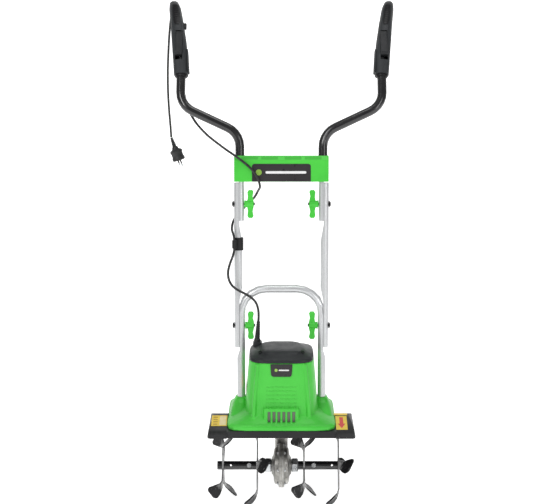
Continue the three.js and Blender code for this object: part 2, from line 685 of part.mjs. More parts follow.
function handleTube() {
  const { low, slopeLow, slopeHigh, outX, bend, end } = HANDLE_TUBE;
  const corners = [[GRIP_TUBE_X, 0, low], [GRIP_TUBE_X, 0, slopeLow], [outX, 0, slopeHigh],
    backwards(slopeHigh, end)];
  return hollowTube(bentRoute(corners, bend), BLACK);
}

function throughBolt(z) {
  const head = MID_X + SILVER.radius + GAP;
  const stem = rodX(BOLT_RADIUS, KNOB.inner - 3, head + 1, { z, sides: 10 });
  return join(stem, rodX(7.5, head, head + 4.5, { z }));
}

function knob(z) {
  const { inner, outer, halfHeight: tall, halfThick: thick, neck } = KNOB;
  const wing = [[outer, 8], [outer - 2, 19], [outer - 0.5, tall - 6], [outer - 4, tall], [inner + 4, tall],
    [inner + 0.5, tall - 5], [inner + 3, 20], [inner, 7]];
  const outline = [...wing, ...wing.map(([x, dz]) => [x, -dz]).reverse()];
  const wings = new THREE.ExtrudeGeometry(outlineShape(outline), { depth: 2 * thick, bevelEnabled: false });
  const body = join(solid(wings.rotateX(Math.PI / 2).translate(0, thick, 0)),
    rodX(neck, inner + 1, FRAME_X - SILVER.radius - 1.2));
  return shifted(cut(body, rodX(BOLT_RADIUS + GAP, 60, 110, { sides: 10 })), 0, 0, z);
}

function cableClip() {
  const [from, to] = [402, 436];
  const about = { x: MID_X, sides: 14 };
  const band = ring(SILVER.radius + GAP, SILVER.radius + 3.2, from, to, about);
  const round = { x: MID_X + 9.5, y: -16.2, sides: 10 };
  const hook = ring(LEAD_RADIUS + 1.2, LEAD_RADIUS + 3.2, from + 6, to - 6, round);
  return cut(join(band, hook), rod(SILVER.radius + GAP, from - 1, to + 1, about));
}

// ---------------------------------------------------------------- crossbar
function crossbarShell(front) {
  const { low, high, halfWidth, front: frontY, rear } = CROSSBAR;
  const edge = front ? frontY : rear;
  const split = front ? -GAP / 2 : GAP / 2;
  const inward = Math.sign(-edge);
  const profile = (by) => [[split + by * inward * 0.3, low + by], [edge + by * inward, low + by],
    [edge + by * inward, high - 12], [edge + (by + 7) * inward, high - by],
    [split + by * inward * 0.3, high - by]];
  const outside = profileX(profile(0), -halfWidth, halfWidth);
  const room = profileX(profile(WALL), -88, 88);
  const tubes = rod(BLACK.radius + GAP, low - 5, high + 5, { x: GRIP_TUBE_X, sides: 20 });
  return cut(outside, room, tubes, mirrored(tubes));
}

// ---------------------------------------------------------------- grips
// Point and frame on the grip's middle line, a distance along it from its lower end.
function gripLine(along) {
  const { start, backStart, backEnd, curl, length, outward } = GRIP;
  const steps = 40;
  const foot = backwards(HANDLE_TUBE.slopeHigh, start);
  const point = new THREE.Vector3(...foot);
  const angleAt = (s) => RAD * (backStart + (backEnd - backStart) * (Math.max(0, s) / length) ** curl);
  for (let i = 0; i < steps; i++) {
    const angle = angleAt((i + 0.5) * along / steps);
    point.y += Math.sin(angle) * along / steps;
    point.z += Math.cos(angle) * along / steps;
  }
  point.x += outward * (along / length) ** 1.5;
  const angle = angleAt(along);
  const up = new THREE.Vector3(0, Math.sin(angle), Math.cos(angle));
  const front = new THREE.Vector3(0, -Math.cos(angle), Math.sin(angle));
  return { point, up, front };
}

// Half widths across (X) and half depths to the front and back, along the grip.
const GRIP_SECTIONS = [
  { along: 0, halfX: 18.8, front: 19, back: 25 }, { along: 50, halfX: 20.4, front: 21, back: 27 },
  { along: 95, halfX: 20, front: 21, back: 27 }, { along: 150, halfX: 18.2, front: 22, back: 25 },
  { along: 205, halfX: 16.6, front: 21, back: 24 }, { along: 234, halfX: 13.5, front: 16, back: 18 },
  { along: GRIP.length, halfX: 8, front: 9, back: 10 },
];

function gripBody(sections, by) {
  const sides = 18;
  return loft(sections.map(({ along, halfX, front, back }) => {
    const { point, front: forward } = gripLine(along);
    return Array.from({ length: sides }, (_, i) => {
      const angle = (i + 0.5) * 2 * Math.PI / sides;
      const [c, s] = [Math.cos(angle), Math.sin(angle)];
      const reach = (Math.abs(c) ** 2.6 + Math.abs(s) ** 2.6) ** (-1 / 2.6);
      const depth = (s > 0 ? front : back) - by;
      return point.clone().add(new THREE.Vector3((halfX - by) * reach * c, 0, 0))
        .addScaledVector(forward, depth * reach * s);
    });
  }));
}

// A block in the grip's own frame: x from the middle line, front depth range, and length range about `at`.
function gripBlock(at, [x0, x1], [f0, f1], [u0, u1]) {
  const { point, up, front } = gripLine(at);
  const basis = new THREE.Matrix4().makeBasis(new THREE.Vector3(1, 0, 0), front.clone().negate(), up);
  const box = block([x0, x1], [-f1, -f0], [u0, u1]);
  return moved(box, basis.setPosition(point));
}

const LEVER_AT = (LEVER.from + LEVER.to) / 2;
const leverHalf = (LEVER.to - LEVER.from) / 2;

function gripShells(withButton) {
  const roomSections = [6, 50, 95, 150, 205, 234].map((along) => {
    const away = (section) => Math.abs(section.along - along);
    const nearest = GRIP_SECTIONS.reduce((a, b) => (away(b) < away(a) ? b : a));
    return { ...nearest, along };
  });
  const shell = cut(gripBody(GRIP_SECTIONS, 0), gripBody(roomSections, 2.8));
  const slot = gripBlock(LEVER_AT, [-LEVER.halfWidth - 0.6, LEVER.halfWidth + 0.6], [2, 40],
    [-leverHalf - 12, leverHalf + 2]);
  const { up } = gripLine(0);
  const tubeStops = [-20, 30].map((s) => ({ point: gripLine(0).point.addScaledVector(up, s), tangent: up }));
  const open = [slot, solid(swept(tubeStops, BLACK.radius + GAP, 20))];
  if (withButton) open.push(lockButtonHole());
  const body = cut(shell, ...open);
  const [low, high] = [gripLine(0).point, gripLine(GRIP.length).point];
  const tilt = Math.atan2(high.x - low.x, high.z - low.z);
  const half = (side) => {
    const box = block(side > 0 ? [GAP / 2, 80] : [-80, -GAP / 2], [-200, 300], [-40, 320]);
    return moved(box, new THREE.Matrix4().makeRotationY(tilt).setPosition(low));
  };
  return { outer: body.intersect(half(1)), inner: body.intersect(half(-1)) };
}

const BUTTON = { at: 144, front: 2, halfLength: 8, halfDepth: 5, out: 24.5, into: 9 };

function lockButtonHole() {
  const { at, front, halfLength, halfDepth, into } = BUTTON;
  return gripBlock(at, [-40, -into], [front - halfDepth - 0.5, front + halfDepth + 0.5],
    [-halfLength - 0.5, halfLength + 0.5]);
}

function lockButton() {
  const { at, front, halfLength, halfDepth, out, into } = BUTTON;
  return gripBlock(at, [-out, -into], [front - halfDepth, front + halfDepth], [-halfLength, halfLength]);
}

function lever() {
  const outline = [[-leverHalf, 7], [-leverHalf, 21 + LEVER.proud], [-leverHalf + 6, 24 + LEVER.proud],
    [leverHalf - 12, 22], [leverHalf, 18], [leverHalf, 8], [leverHalf - 10, 6]];
  const shape = outline.map(([u, f]) => [-f, u]);
  const strip = profileX(shape, -LEVER.halfWidth, LEVER.halfWidth);
  const { point, up, front } = gripLine(LEVER_AT);
  const basis = new THREE.Matrix4().makeBasis(new THREE.Vector3(1, 0, 0), front.clone().negate(), up);
  return moved(strip, basis.setPosition(point));
}

const switchBlock = () => gripBlock(LEVER_AT + 8, [-8, 8], [-19, -4], [-14, 26]);

// ---------------------------------------------------------------- leads
// Route points of the leads in the machine's frame, from the end that leaves the housing.
const MOTOR_LEAD_LOWER = [
  [-62.5, 41, 497.6], [-61.6, 41, 510], [-62.5, 39, 530], [-68, 34, 551], [-80, 28, 567], [-98, 24, 580],
  [-116, 22, 590], [-131, 22, 602], [-140, 24, 618], [-142.5, 28, 637], [-138, 34, 658], [-130, 40.5, 679],
  [-125.6, 44.2, 697.5], [-125.5, 45.5, 709.8],
];
const MOTOR_LEAD_UPPER = [
  [-125.5, 45.6, 710.2], [-125.7, 46.8, 722], [-128, 50.5, 735], [-132.5, 60, 748], [-131.5, 73, 760],
  [-127, 86, 771], [-119, 96, 781], [-108, 104, 792], [-96, 112, 803], [-84, 116, 814], [-72, 113, 828],
  [-64, 102, 844], [-59, 82, 855], [-57, 62, 864], [-60, 51, 881], [-70, 53, 900], [-85, 56, 917],
  [-103, 59, 932], [-124, 62, 947], [-147, 68, 962], [-170, 76, 978], [-192, 85, 994], [-211, 95, 1011],
  [-228, 108, 1029], [-242, 119, 1050], [-251, 126.5, 1071], [-257, 134, 1092],
  [-262, 141, 1113], [-265, 149, 1132.5], [-266.5, 153.3, 1142.8],
];
const MAINS_LEAD = [
  [-298.6, 300.4, 1332.3], [-299.6, 318, 1336], [-301.5, 332, 1336], [-304.5, 344, 1330.5],
  [-308.5, 352, 1319], [-312.5, 355, 1303], [-316, 355.5, 1280], [-319.5, 355, 1245], [-322.5, 354.5, 1205], [-325, 354, 1160],
  [-326, 353.5, 1115], [-325.5, 353, 1075], [-324, 352.5, 1040], [-322, 352, 1010], [-320.5, 352, 985],
  [-319.5, 352, 962],
];

function mainsPlug() {
  const body = lathe([[0, 0], [4.2, 0], [6.4, -26], [9, -28], [15, -38], [18.5, -48], [18.5, -68], [0, -68]],
    { sides: 20 });
  const pins = [-1, 1].map((side) => rod(2.4, -87, -66, { x: 9.5 * side, sides: 10 }));
  const tilt = new THREE.Matrix4().makeRotationY(-18 * RAD);
  const [x, y, z] = MAINS_LEAD.at(-1);
  return shifted(moved(join(body, ...pins), tilt), x + 0.6, y, z - GAP - 1);
}

// ---------------------------------------------------------------- assembly
function addRotor() {
  place(machine, 'axle_shaft', axleShaft(), LOOK.steel);
  place(machine, 'worm_wheel', wormWheel(), LOOK.copper);
  placePair(machine, 'hex_collar', hexCollar(), LOOK.zinc);
  placePair(machine, 'tine_tube', tineTube(), LOOK.gloss);
  placePair(machine, 'tine_bolt', tineBolt(), LOOK.zinc);
  STAR_X.forEach((_, i) => place(machine, `tine_star_${i + 1}`, tineStar(i), LOOK.tine));
}

function addDrive() {
  const gearbox = gearboxHalf();
  placePair(machine, 'gearbox', gearbox, LOOK.diecast);
  placePair(machine, 'axle_bearing', axleBearing(), LOOK.steel);
  place(machine, 'worm_shaft', wormShaft(), LOOK.steel);
  place(machine, 'worm_bearing', wormBearing(), LOOK.steel);
  place(machine, 'reduction_gear', drivenGear(), LOOK.steel);
  place(machine, 'gear_carrier', gearCarrier(), LOOK.diecast);
  place(machine, 'stator_core', statorCore(), LOOK.steel);
  place(machine, 'armature_core', armatureCore(), LOOK.copper);
  place(machine, 'motor_shaft', motorShaft(), LOOK.steel);
  place(machine, 'cooling_fan', coolingFan(), LOOK.black);
}

function addCovers() {
  place(machine, 'hood', hood(), LOOK.black);
  const whole = housing();
  const half = (y0, y1) => whole.intersect(block([-200, 200], [y0, y1], [200, 500]));
  place(machine, 'housing_front', half(-200, -GAP / 2), LOOK.green);
  place(machine, 'housing_rear', half(GAP / 2, 200), LOOK.green);
  place(machine, 'motor_cap', motorCap(), LOOK.grey);
  place(machine, 'motor_strain_relief', strainRelief(), LOOK.rubber);
}

function addHandle() {
  place(handle, 'lower_frame', lowerFrame(), LOOK.silver);
  placePair(handle, 'mid_tube', midTube(), LOOK.silver);
  placePair(handle, 'stub_tube', stubTube(), LOOK.silver);
  placePair(handle, 'handle_tube', handleTube(), LOOK.gloss);
  placePair(handle, 'lower_bolt', throughBolt(LOWER_BOLT), LOOK.black);
  placePair(handle, 'upper_bolt', throughBolt(UPPER_BOLT), LOOK.black);
  placePair(handle, 'lower_knob', knob(LOWER_BOLT), LOOK.green);
  placePair(handle, 'upper_knob', knob(UPPER_BOLT), LOOK.green);
  place(handle, 'cable_clip', mirrored(cableClip()), LOOK.rubber);
  place(handle, 'crossbar_front', crossbarShell(true), LOOK.green);
  place(handle, 'crossbar_rear', crossbarShell(false), LOOK.green);
  const plain = gripShells(false);
  const switched = gripShells(true);
  place(handle, 'grip_left_outer', plain.outer, LOOK.grey);
  place(handle, 'grip_left_inner', plain.inner, LOOK.grey);
  place(handle, 'grip_right_outer', mirrored(switched.outer), LOOK.grey);
  place(handle, 'grip_right_inner', mirrored(switched.inner), LOOK.grey);
  placePair(handle, 'lever', lever(), LOOK.grey);
  place(handle, 'lock_button', mirrored(lockButton()), LOOK.black);
  place(handle, 'switch_block', mirrored(switchBlock()), LOOK.black);
}

function addLeads() {
  place(machine, 'motor_lead_lower', cord(MOTOR_LEAD_LOWER), LOOK.rubber);
  place(machine, 'motor_lead_upper', cord(MOTOR_LEAD_UPPER), LOOK.rubber);
  place(machine, 'mains_lead', cord(MAINS_LEAD), LOOK.rubber);
  place(machine, 'mains_plug', mainsPlug(), LOOK.rubber);
}

// The origin sits under the middle of the machine's box, measured without the free mains lead and its plug.
function centre(group) {
  group.updateMatrixWorld(true);
  const box = new THREE.Box3();
  group.traverse((mesh) => {
    if (mesh.isMesh && !mesh.name.startsWith('mains')) box.expandByObject(mesh, true);
  });
  const middle = box.getCenter(new THREE.Vector3());
  group.position.set(-middle.x, -middle.y, -box.min.z);
}

addRotor();
addDrive();
addCovers();
addHandle();
addLeads();
centre(machine);

const cultivator = new THREE.Group();
cultivator.add(machine);

export default cultivator;
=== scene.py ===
"""Looks for the mini cultivator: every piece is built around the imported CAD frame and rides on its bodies.

Lengths in the tables are millimetres in the machine's building frame: X across, -Y to the front, Z up, with
the axle's middle over the origin. at() turns them into metres in the row frame. Left is +X.
"""
import json
import math

import bmesh
import bpy
from mathutils import Matrix, Vector
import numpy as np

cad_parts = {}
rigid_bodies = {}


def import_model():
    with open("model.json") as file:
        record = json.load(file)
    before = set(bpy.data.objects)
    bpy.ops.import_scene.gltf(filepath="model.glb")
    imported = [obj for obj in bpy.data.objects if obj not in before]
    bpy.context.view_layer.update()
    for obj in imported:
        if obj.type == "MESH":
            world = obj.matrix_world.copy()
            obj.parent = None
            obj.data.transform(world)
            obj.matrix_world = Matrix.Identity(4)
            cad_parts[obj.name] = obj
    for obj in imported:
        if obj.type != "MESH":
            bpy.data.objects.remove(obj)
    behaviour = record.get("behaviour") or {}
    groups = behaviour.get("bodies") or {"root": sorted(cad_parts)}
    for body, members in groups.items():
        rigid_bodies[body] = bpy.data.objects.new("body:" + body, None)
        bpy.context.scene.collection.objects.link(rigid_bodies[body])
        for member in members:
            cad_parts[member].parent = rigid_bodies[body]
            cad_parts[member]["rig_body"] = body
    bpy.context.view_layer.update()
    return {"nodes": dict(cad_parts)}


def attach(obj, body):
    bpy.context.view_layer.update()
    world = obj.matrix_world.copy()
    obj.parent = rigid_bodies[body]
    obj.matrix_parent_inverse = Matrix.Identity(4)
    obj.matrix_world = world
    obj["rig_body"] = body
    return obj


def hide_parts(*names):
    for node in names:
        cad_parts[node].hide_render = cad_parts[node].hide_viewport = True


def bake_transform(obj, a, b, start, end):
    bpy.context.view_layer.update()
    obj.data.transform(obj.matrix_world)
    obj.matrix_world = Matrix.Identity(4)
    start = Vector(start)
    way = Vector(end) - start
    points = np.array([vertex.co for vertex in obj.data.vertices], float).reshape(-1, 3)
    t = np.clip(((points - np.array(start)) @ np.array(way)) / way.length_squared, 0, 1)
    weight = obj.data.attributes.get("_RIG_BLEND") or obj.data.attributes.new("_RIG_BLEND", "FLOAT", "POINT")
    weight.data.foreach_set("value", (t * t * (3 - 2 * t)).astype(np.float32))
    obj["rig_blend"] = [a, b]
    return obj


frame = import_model()

# ---------------------------------------------------------------- driving dimensions
MM = 0.001
ORIGIN = Vector((0.0, -0.089201, 0.005585))      # building frame origin in the row frame
HANDLE_LEAN = math.radians(6)
HANDLE_FOOT = (17.7, 292)                        # Y and Z where the handle line leaves the boots
AXLE_Z = 97.93
BOLT_HEIGHTS = {"lower": 197, "upper": 526}      # along the handle line
TUBE_FACE = {"lower": 98.3, "upper": 99.4}       # X of the tube's inner face at each knob
BOLT_HEAD_X = 127.4
SIDES = {"left": 1, "right": -1}

HOOD_SLOPE = (0, 70, 15.5)                       # direction up the hood's raised ends, from their brow
HOOD_BROW = (-112, 241.5)                        # Y and Z
SLOT_X = [(i - 2.5) * 13 for i in range(6)]
CROSSBAR_Z = 610                                 # along the handle line
CROSSBAR_FACE = 21                               # from the handle line to the crossbar's front

GRIP_START, GRIP_LENGTH, GRIP_OUTWARD = 873, 252, 31
GRIP_LEAN, GRIP_CURL = (20, 72), 2.5             # degrees from the handle line at both ends
GRIP_TUBE_START, GRIP_TUBE_X = 787, 267.4        # where the bent tube turns towards the grip
GRIP_FRONT = [(0, 19), (50, 21), (150, 22), (205, 21), (234, 16), (252, 9)]
GRIP_ROUND = 17                                  # radius across the grip's front

CAMERA_DISTANCE = 2800
CAMERA_AIM = (0, 0, 699.5)
CAMERA_PITCH = math.radians(12.5)
CAMERA_LENS, CAMERA_SENSOR, CAMERA_SHIFT = 68.4, 36, -0.0025

LEAD_RADIUS = 3.2
PLUG_TILT = math.radians(-18)
PLUG_TURN = math.radians(62)
PIN_OFFSET = 9.5

MOTOR_LEAD_LOWER = [
    (-62.5, 41, 497.6), (-61.6, 41, 510), (-62.5, 39, 530), (-68, 34, 551), (-80, 28, 567),
    (-98, 24, 580), (-116, 22, 590), (-131, 22, 602), (-140, 24, 618), (-142.5, 28, 637),
    (-138, 34, 658), (-130, 40.5, 679), (-125.6, 44.2, 697.5), (-125.5, 45.5, 709.8),
]
MOTOR_LEAD_UPPER = [
    (-125.5, 45.6, 710.2), (-125.7, 46.8, 722), (-128, 50.5, 735), (-132.5, 60, 748),
    (-131.5, 73, 760), (-127, 86, 771), (-119, 96, 781), (-108, 104, 792), (-96, 112, 803),
    (-84, 116, 814), (-72, 113, 828), (-64, 102, 844), (-59, 82, 855), (-57, 62, 864),
    (-60, 51, 881), (-70, 53, 900), (-85, 56, 917), (-103, 59, 932), (-124, 62, 947),
    (-147, 68, 962), (-170, 76, 978), (-192, 85, 994), (-211, 95, 1011), (-228, 108, 1029),
    (-242, 119, 1050), (-251, 126.5, 1071), (-257, 134, 1092), (-262, 141, 1113),
    (-265, 149, 1132.5), (-266.5, 153.3, 1142.8),
]
MAINS_LEAD = [
    (-298.6, 300.4, 1332.3), (-299.6, 318, 1336), (-301.5, 332, 1336), (-304.5, 344, 1330.5),
    (-308.5, 352, 1319), (-312.5, 355, 1303), (-316, 355.5, 1280), (-319.5, 355, 1245),
    (-322.5, 354.5, 1205), (-325, 354, 1160), (-326, 353.5, 1115), (-325.5, 353, 1075),
    (-324, 352.5, 1040), (-322, 352, 1010), (-320.5, 352, 985), (-319.5, 352, 962),
]


# ---------------------------------------------------------------- places
def at(x, y, z):
    return ORIGIN + Vector((x, y, z)) * MM


def on_handle(x, y, z):
    """A point given along the handle line: y to the back, z up from the foot."""
    c, s = math.cos(HANDLE_LEAN), math.sin(HANDLE_LEAN)
    return at(x, HANDLE_FOOT[0] + y * c + z * s, HANDLE_FOOT[1] - y * s + z * c)


def on_hood(x, y, lift=0.15):
    """A point over the hood's raised ends, lifted off their surface."""
    rise = HOOD_SLOPE[2] / HOOD_SLOPE[1]
    return at(x, y, HOOD_BROW[1] + (y - HOOD_BROW[0]) * rise + lift)


def frame_along(direction):
    """A rotation that takes +Z to the direction."""
    return Vector(direction).normalized().to_track_quat("Z", "Y").to_matrix()


# ---------------------------------------------------------------- mesh tools
def new_piece(name, verts, faces, material, smooth_angle=35):
    mesh = bpy.data.meshes.new(name)
    mesh.from_pydata([tuple(v) for v in verts], [], faces)
    piece = bpy.data.objects.new(name, mesh)
    bpy.context.scene.collection.objects.link(piece)
    mesh.materials.append(material)
    tidy(mesh, smooth_angle)
    return piece


def tidy(mesh, smooth_angle):
    """Merged vertices, faces outward, smooth shading up to the angle."""
    work = bmesh.new()
    work.from_mesh(mesh)
    bmesh.ops.remove_doubles(work, verts=work.verts, dist=2e-6)
    bmesh.ops.recalc_face_normals(work, faces=work.faces)
    work.to_mesh(mesh)
    work.free()
    mesh.shade_smooth()
    mesh.set_sharp_from_angle(angle=math.radians(smooth_angle))


def lofted(rings):
    """Vertices and faces of a closed skin over rings of equal length."""
    count = len(rings[0])
    verts = [p for ring in rings for p in ring]
    faces = [tuple(reversed(range(count)))]
    for r in range(len(rings) - 1):
        for i in range(count):
            j = (i + 1) % count
            faces.append((r * count + i, r * count + j, (r + 1) * count + j, (r + 1) * count + i))
    faces.append(tuple(range((len(rings) - 1) * count, len(rings) * count)))
    return verts, faces


def superellipse(x, y, z, half_x, half_y, power, sides):
    ring = []
    for i in range(sides):
        angle = (i + 0.5) * math.tau / sides
        c, s = math.cos(angle), math.sin(angle)
        reach = (abs(c) ** power + abs(s) ** power) ** (-1 / power)
        ring.append(at(x + half_x * reach * c, y + half_y * reach * s, z))
    return ring


def tower(levels, sides=64):
    """Loft over levels of (x, y, z, half x, half y, power)."""
    return lofted([superellipse(*level, sides) for level in levels])


def lathed(profile, place, direction=(0, 0, 1), sides=28):
    """Closed lathe of (radius, height) pairs in mm about a point in metres, along a direction."""
    turn = frame_along(direction)
    rings = []
    for radius, height in profile:
        ring = []
        for i in range(sides):
            angle = i * math.tau / sides
            local = Vector((radius * math.cos(angle), radius * math.sin(angle), height)) * MM
            ring.append(place + turn @ local)
        rings.append(ring)
    return lofted(rings)


def merged(parts):
    """One vertex and face list from several."""
    verts, faces = [], []
    for part_verts, part_faces in parts:
        start = len(verts)
        verts.extend(part_verts)
        faces.extend(tuple(start + i for i in face) for face in part_faces)
    return verts, faces


def plate(outline, place, x_axis, y_axis, thickness):
    """A flat plate: outline of (x, y) mm in its own plane, thickness mm along x_axis cross y_axis."""
    across, along = Vector(x_axis).normalized(), Vector(y_axis).normalized()
    out = across.cross(along)
    rings = [[place + (across * x + along * y + out * h) * MM for x, y in outline] for h in (0, thickness)]
    return lofted(rings)


def rounded_outline(half_x, half_y, radius, steps=5):
    """Outline of a rectangle with rounded corners."""
    points = []
    for quarter in range(4):
        sx, sy = ((1, 1), (-1, 1), (-1, -1), (1, -1))[quarter]
        for i in range(steps + 1):
            angle = (quarter + i / steps) * math.pi / 2
            points.append((sx * (half_x - radius) + radius * math.cos(angle),
                           sy * (half_y - radius) + radius * math.sin(angle)))
    return points


def smooth_route(points, per_span=6):
    """Centripetal curve through points, as the CAD's cords follow it."""
    ends = [2 * points[0] - points[1], *points, 2 * points[-1] - points[-2]]
    route = []
    for i in range(len(points) - 1):
        p0, p1, p2, p3 = ends[i:i + 4]
        t01, t12, t23 = [max((b - a).length, 1e-9) ** 0.5 for a, b in ((p0, p1), (p1, p2), (p2, p3))]
        m1 = ((p1 - p0) / t01 - (p2 - p0) / (t01 + t12) + (p2 - p1) / t12) * t12
        m2 = ((p2 - p1) / t12 - (p3 - p1) / (t12 + t23) + (p3 - p2) / t23) * t12
        for k in range(per_span):
            t = k / per_span
            route.append((2 * t ** 3 - 3 * t ** 2 + 1) * p1 + (t ** 3 - 2 * t ** 2 + t) * m1
                         + (3 * t ** 2 - 2 * t ** 3) * p2 + (t ** 3 - t ** 2) * m2)
    return route + [points[-1]]


def tubed(route, radius, sides=14):
    """A round skin of one radius in mm along a route in metres."""
    rings = []
    side = None
    for i, point in enumerate(route):
        tangent = (route[min(i + 1, len(route) - 1)] - route[max(i - 1, 0)]).normalized()
        side = side or tangent.orthogonal()
        side = (side - tangent * tangent.dot(side)).normalized()
        other = tangent.cross(side)
        ring = []
        for k in range(sides):
            angle = k * math.tau / sides
            ring.append(point + (side * math.cos(angle) + other * math.sin(angle)) * radius * MM)
        rings.append(ring)
    return lofted(rings)


def soften(piece, width, segments=3, angle=30):
    """Rounded edges of a width in mm."""
    bevel = piece.modifiers.new("edges", "BEVEL")
    bevel.width = width * MM
    bevel.segments = segments
    bevel.limit_method = "ANGLE"
    bevel.angle_limit = math.radians(angle)
    bevel.harden_normals = True
    return piece


def applied(piece):
    """The piece with its modifiers made part of its mesh."""
    graph = bpy.context.evaluated_depsgraph_get()
    mesh = bpy.data.meshes.new_from_object(piece.evaluated_get(graph))
    piece.modifiers.clear()
    piece.data = mesh
    return piece


def fit(piece, body, slot, *replaced):
    """Rides on the body and stands for the CAD nodes named, which it hides. The slot is not used."""
    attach(piece, body)
    if replaced:
        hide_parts(*replaced)
    return piece


def body_of(node):
    return frame["nodes"][node]["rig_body"]


def refined(node, material, slot, edge=0.0, smooth_angle=35):
    """The CAD node's own shape with merged faces, rounded edges and smooth shading, in its place."""
    work = bmesh.new()
    work.from_mesh(frame["nodes"][node].data)
    bmesh.ops.remove_doubles(work, verts=work.verts, dist=2e-6)
    bmesh.ops.dissolve_limit(work, angle_limit=math.radians(1), verts=work.verts, edges=work.edges)
    mesh = bpy.data.meshes.new(node + "_skin")
    work.to_mesh(mesh)
    work.free()
    for layer in [a.name for a in mesh.attributes if a.name == "custom_normal"]:
        mesh.attributes.remove(mesh.attributes[layer])
    mesh.materials.clear()
    mesh.materials.append(material)
    piece = bpy.data.objects.new(node + "_skin", mesh)
    bpy.context.scene.collection.objects.link(piece)
    tidy(mesh, smooth_angle)
    if edge:
        soften(piece, edge)
    return fit(piece, body_of(node), slot, node)


# ---------------------------------------------------------------- materials
class Surface:
    """A Principled material with its node tree at hand."""

    def __init__(self, name, roughness=0.5, metallic=0.0, coat=0.0, specular=0.5):
        self.material = bpy.data.materials.new(name)
        self.material.use_nodes = True
        self.nodes = self.material.node_tree.nodes
        self.links = self.material.node_tree.links
        self.shader = self.nodes["Principled BSDF"]
        self.shader.inputs["Roughness"].default_value = roughness
        self.shader.inputs["Metallic"].default_value = metallic
        self.shader.inputs["Coat Weight"].default_value = coat
        self.shader.inputs["Specular IOR Level"].default_value = specular
        self.place = self.nodes.new("ShaderNodeTexCoord").outputs["Object"]

    def noise(self, scale, detail=3.0, stretch=(1, 1, 1)):
        mapping = self.nodes.new("ShaderNodeMapping")
        mapping.inputs["Scale"].default_value = stretch
        self.links.new(self.place, mapping.inputs["Vector"])
        texture = self.nodes.new("ShaderNodeTexNoise")
        texture.inputs["Scale"].default_value = scale
        texture.inputs["Detail"].default_value = detail
        self.links.new(mapping.outputs["Vector"], texture.inputs["Vector"])
        return texture.outputs["Fac"]

    def colours(self, value, dark, light, low=0.35, high=0.65):
        """Base colour that runs from dark to light with the value."""
        ramp = self.nodes.new("ShaderNodeValToRGB")
        ramp.color_ramp.elements[0].position, ramp.color_ramp.elements[1].position = low, high
        ramp.color_ramp.elements[0].color = (*dark, 1)
        ramp.color_ramp.elements[1].color = (*light, 1)
        self.links.new(value, ramp.inputs["Fac"])
        self.links.new(ramp.outputs["Color"], self.shader.inputs["Base Color"])
        return self

    def rough(self, value, smooth, coarse):
        """Roughness that runs from smooth to coarse with the value."""
        self.links.new(self.ranged(value, 0.3, 0.7, smooth, coarse), self.shader.inputs["Roughness"])
        return self

    def ranged(self, value, low, high, to_low, to_high):
        node = self.nodes.new("ShaderNodeMapRange")
        for name, number in (("From Min", low), ("From Max", high), ("To Min", to_low), ("To Max", to_high)):
            node.inputs[name].default_value = number
        self.links.new(value, node.inputs["Value"])
        return node.outputs["Result"]

    def math(self, kind, first, second=0.0):
        node = self.nodes.new("ShaderNodeMath")
        node.operation = kind
        for socket, value in zip(node.inputs, (first, second)):
            if isinstance(value, (int, float)):
                socket.default_value = value
            else:
                self.links.new(value, socket)
        return node.outputs["Value"]

    def bump(self, value, strength, depth):
        """Adds relief of a depth in metres on top of any that is there already."""
        node = self.nodes.new("ShaderNodeBump")
        node.inputs["Strength"].default_value = strength
        node.inputs["Distance"].default_value = depth
        self.links.new(value, node.inputs["Height"])
        earlier = self.shader.inputs["Normal"].links
        if earlier:
            self.links.new(earlier[0].from_socket, node.inputs["Normal"])
        self.links.new(node.outputs["Normal"], self.shader.inputs["Normal"])
        return self

    def axis(self, name):
        split = self.nodes.new("ShaderNodeSeparateXYZ")
        self.links.new(self.place, split.inputs["Vector"])
        return split.outputs[name]


def plastic(name, dark, light, roughness, grain=900, depth=0.00012, coat=0.0):
    """Moulded plastic: faint cloudiness, an even fine grain and slightly uneven gloss."""
    surface = Surface(name, roughness=roughness, coat=coat, specular=0.3)
    surface.colours(surface.noise(9), dark, light)
    surface.rough(surface.noise(40), roughness - 0.05, roughness + 0.07)
    return surface.bump(surface.noise(grain, 2), 0.25, depth)


def green_housing():
    """Green plastic with six rows of short moulded dashes above the slots, and the two halves' joint."""
    surface = plastic("green_housing", (0.055, 0.52, 0.045), (0.075, 0.60, 0.06), 0.4, coat=0.1)
    across, deep, height = [surface.axis(name) for name in "XYZ"]
    row_pitch, row_shift, dash_pitch = 11 * MM, 2.5 * MM, 9 * MM
    half_wide, half_high, middle, face = 40 * MM, 29 * MM, 334.5 * MM, -150 * MM
    rows = surface.math("PINGPONG", surface.math("ADD", height, row_shift), row_pitch / 2)
    row = surface.ranged(rows, 0.9 * MM, 2.2 * MM, 1, 0)
    dashes = surface.math("PINGPONG", across, dash_pitch / 2)
    dash = surface.ranged(dashes, 0.8 * MM, 1.6 * MM, 0, 1)
    inside = surface.math("LESS_THAN", surface.math("ABSOLUTE", across), half_wide)
    from_middle = surface.math("ABSOLUTE", surface.math("SUBTRACT", height, middle))
    band = surface.math("LESS_THAN", from_middle, half_high)
    front = surface.math("LESS_THAN", deep, face)
    mask = surface.math("MULTIPLY", surface.math("MULTIPLY", inside, band), front)
    pattern = surface.math("MULTIPLY", surface.math("MULTIPLY", row, dash), mask)
    surface.bump(pattern, 0.9, -1.2 * MM)
    joint = surface.math("ABSOLUTE", surface.math("SUBTRACT", deep, ORIGIN.y))
    surface.bump(surface.ranged(joint, 0.2 * MM, 0.9 * MM, 0, 1), 0.8, 0.8 * MM)
    return surface.material


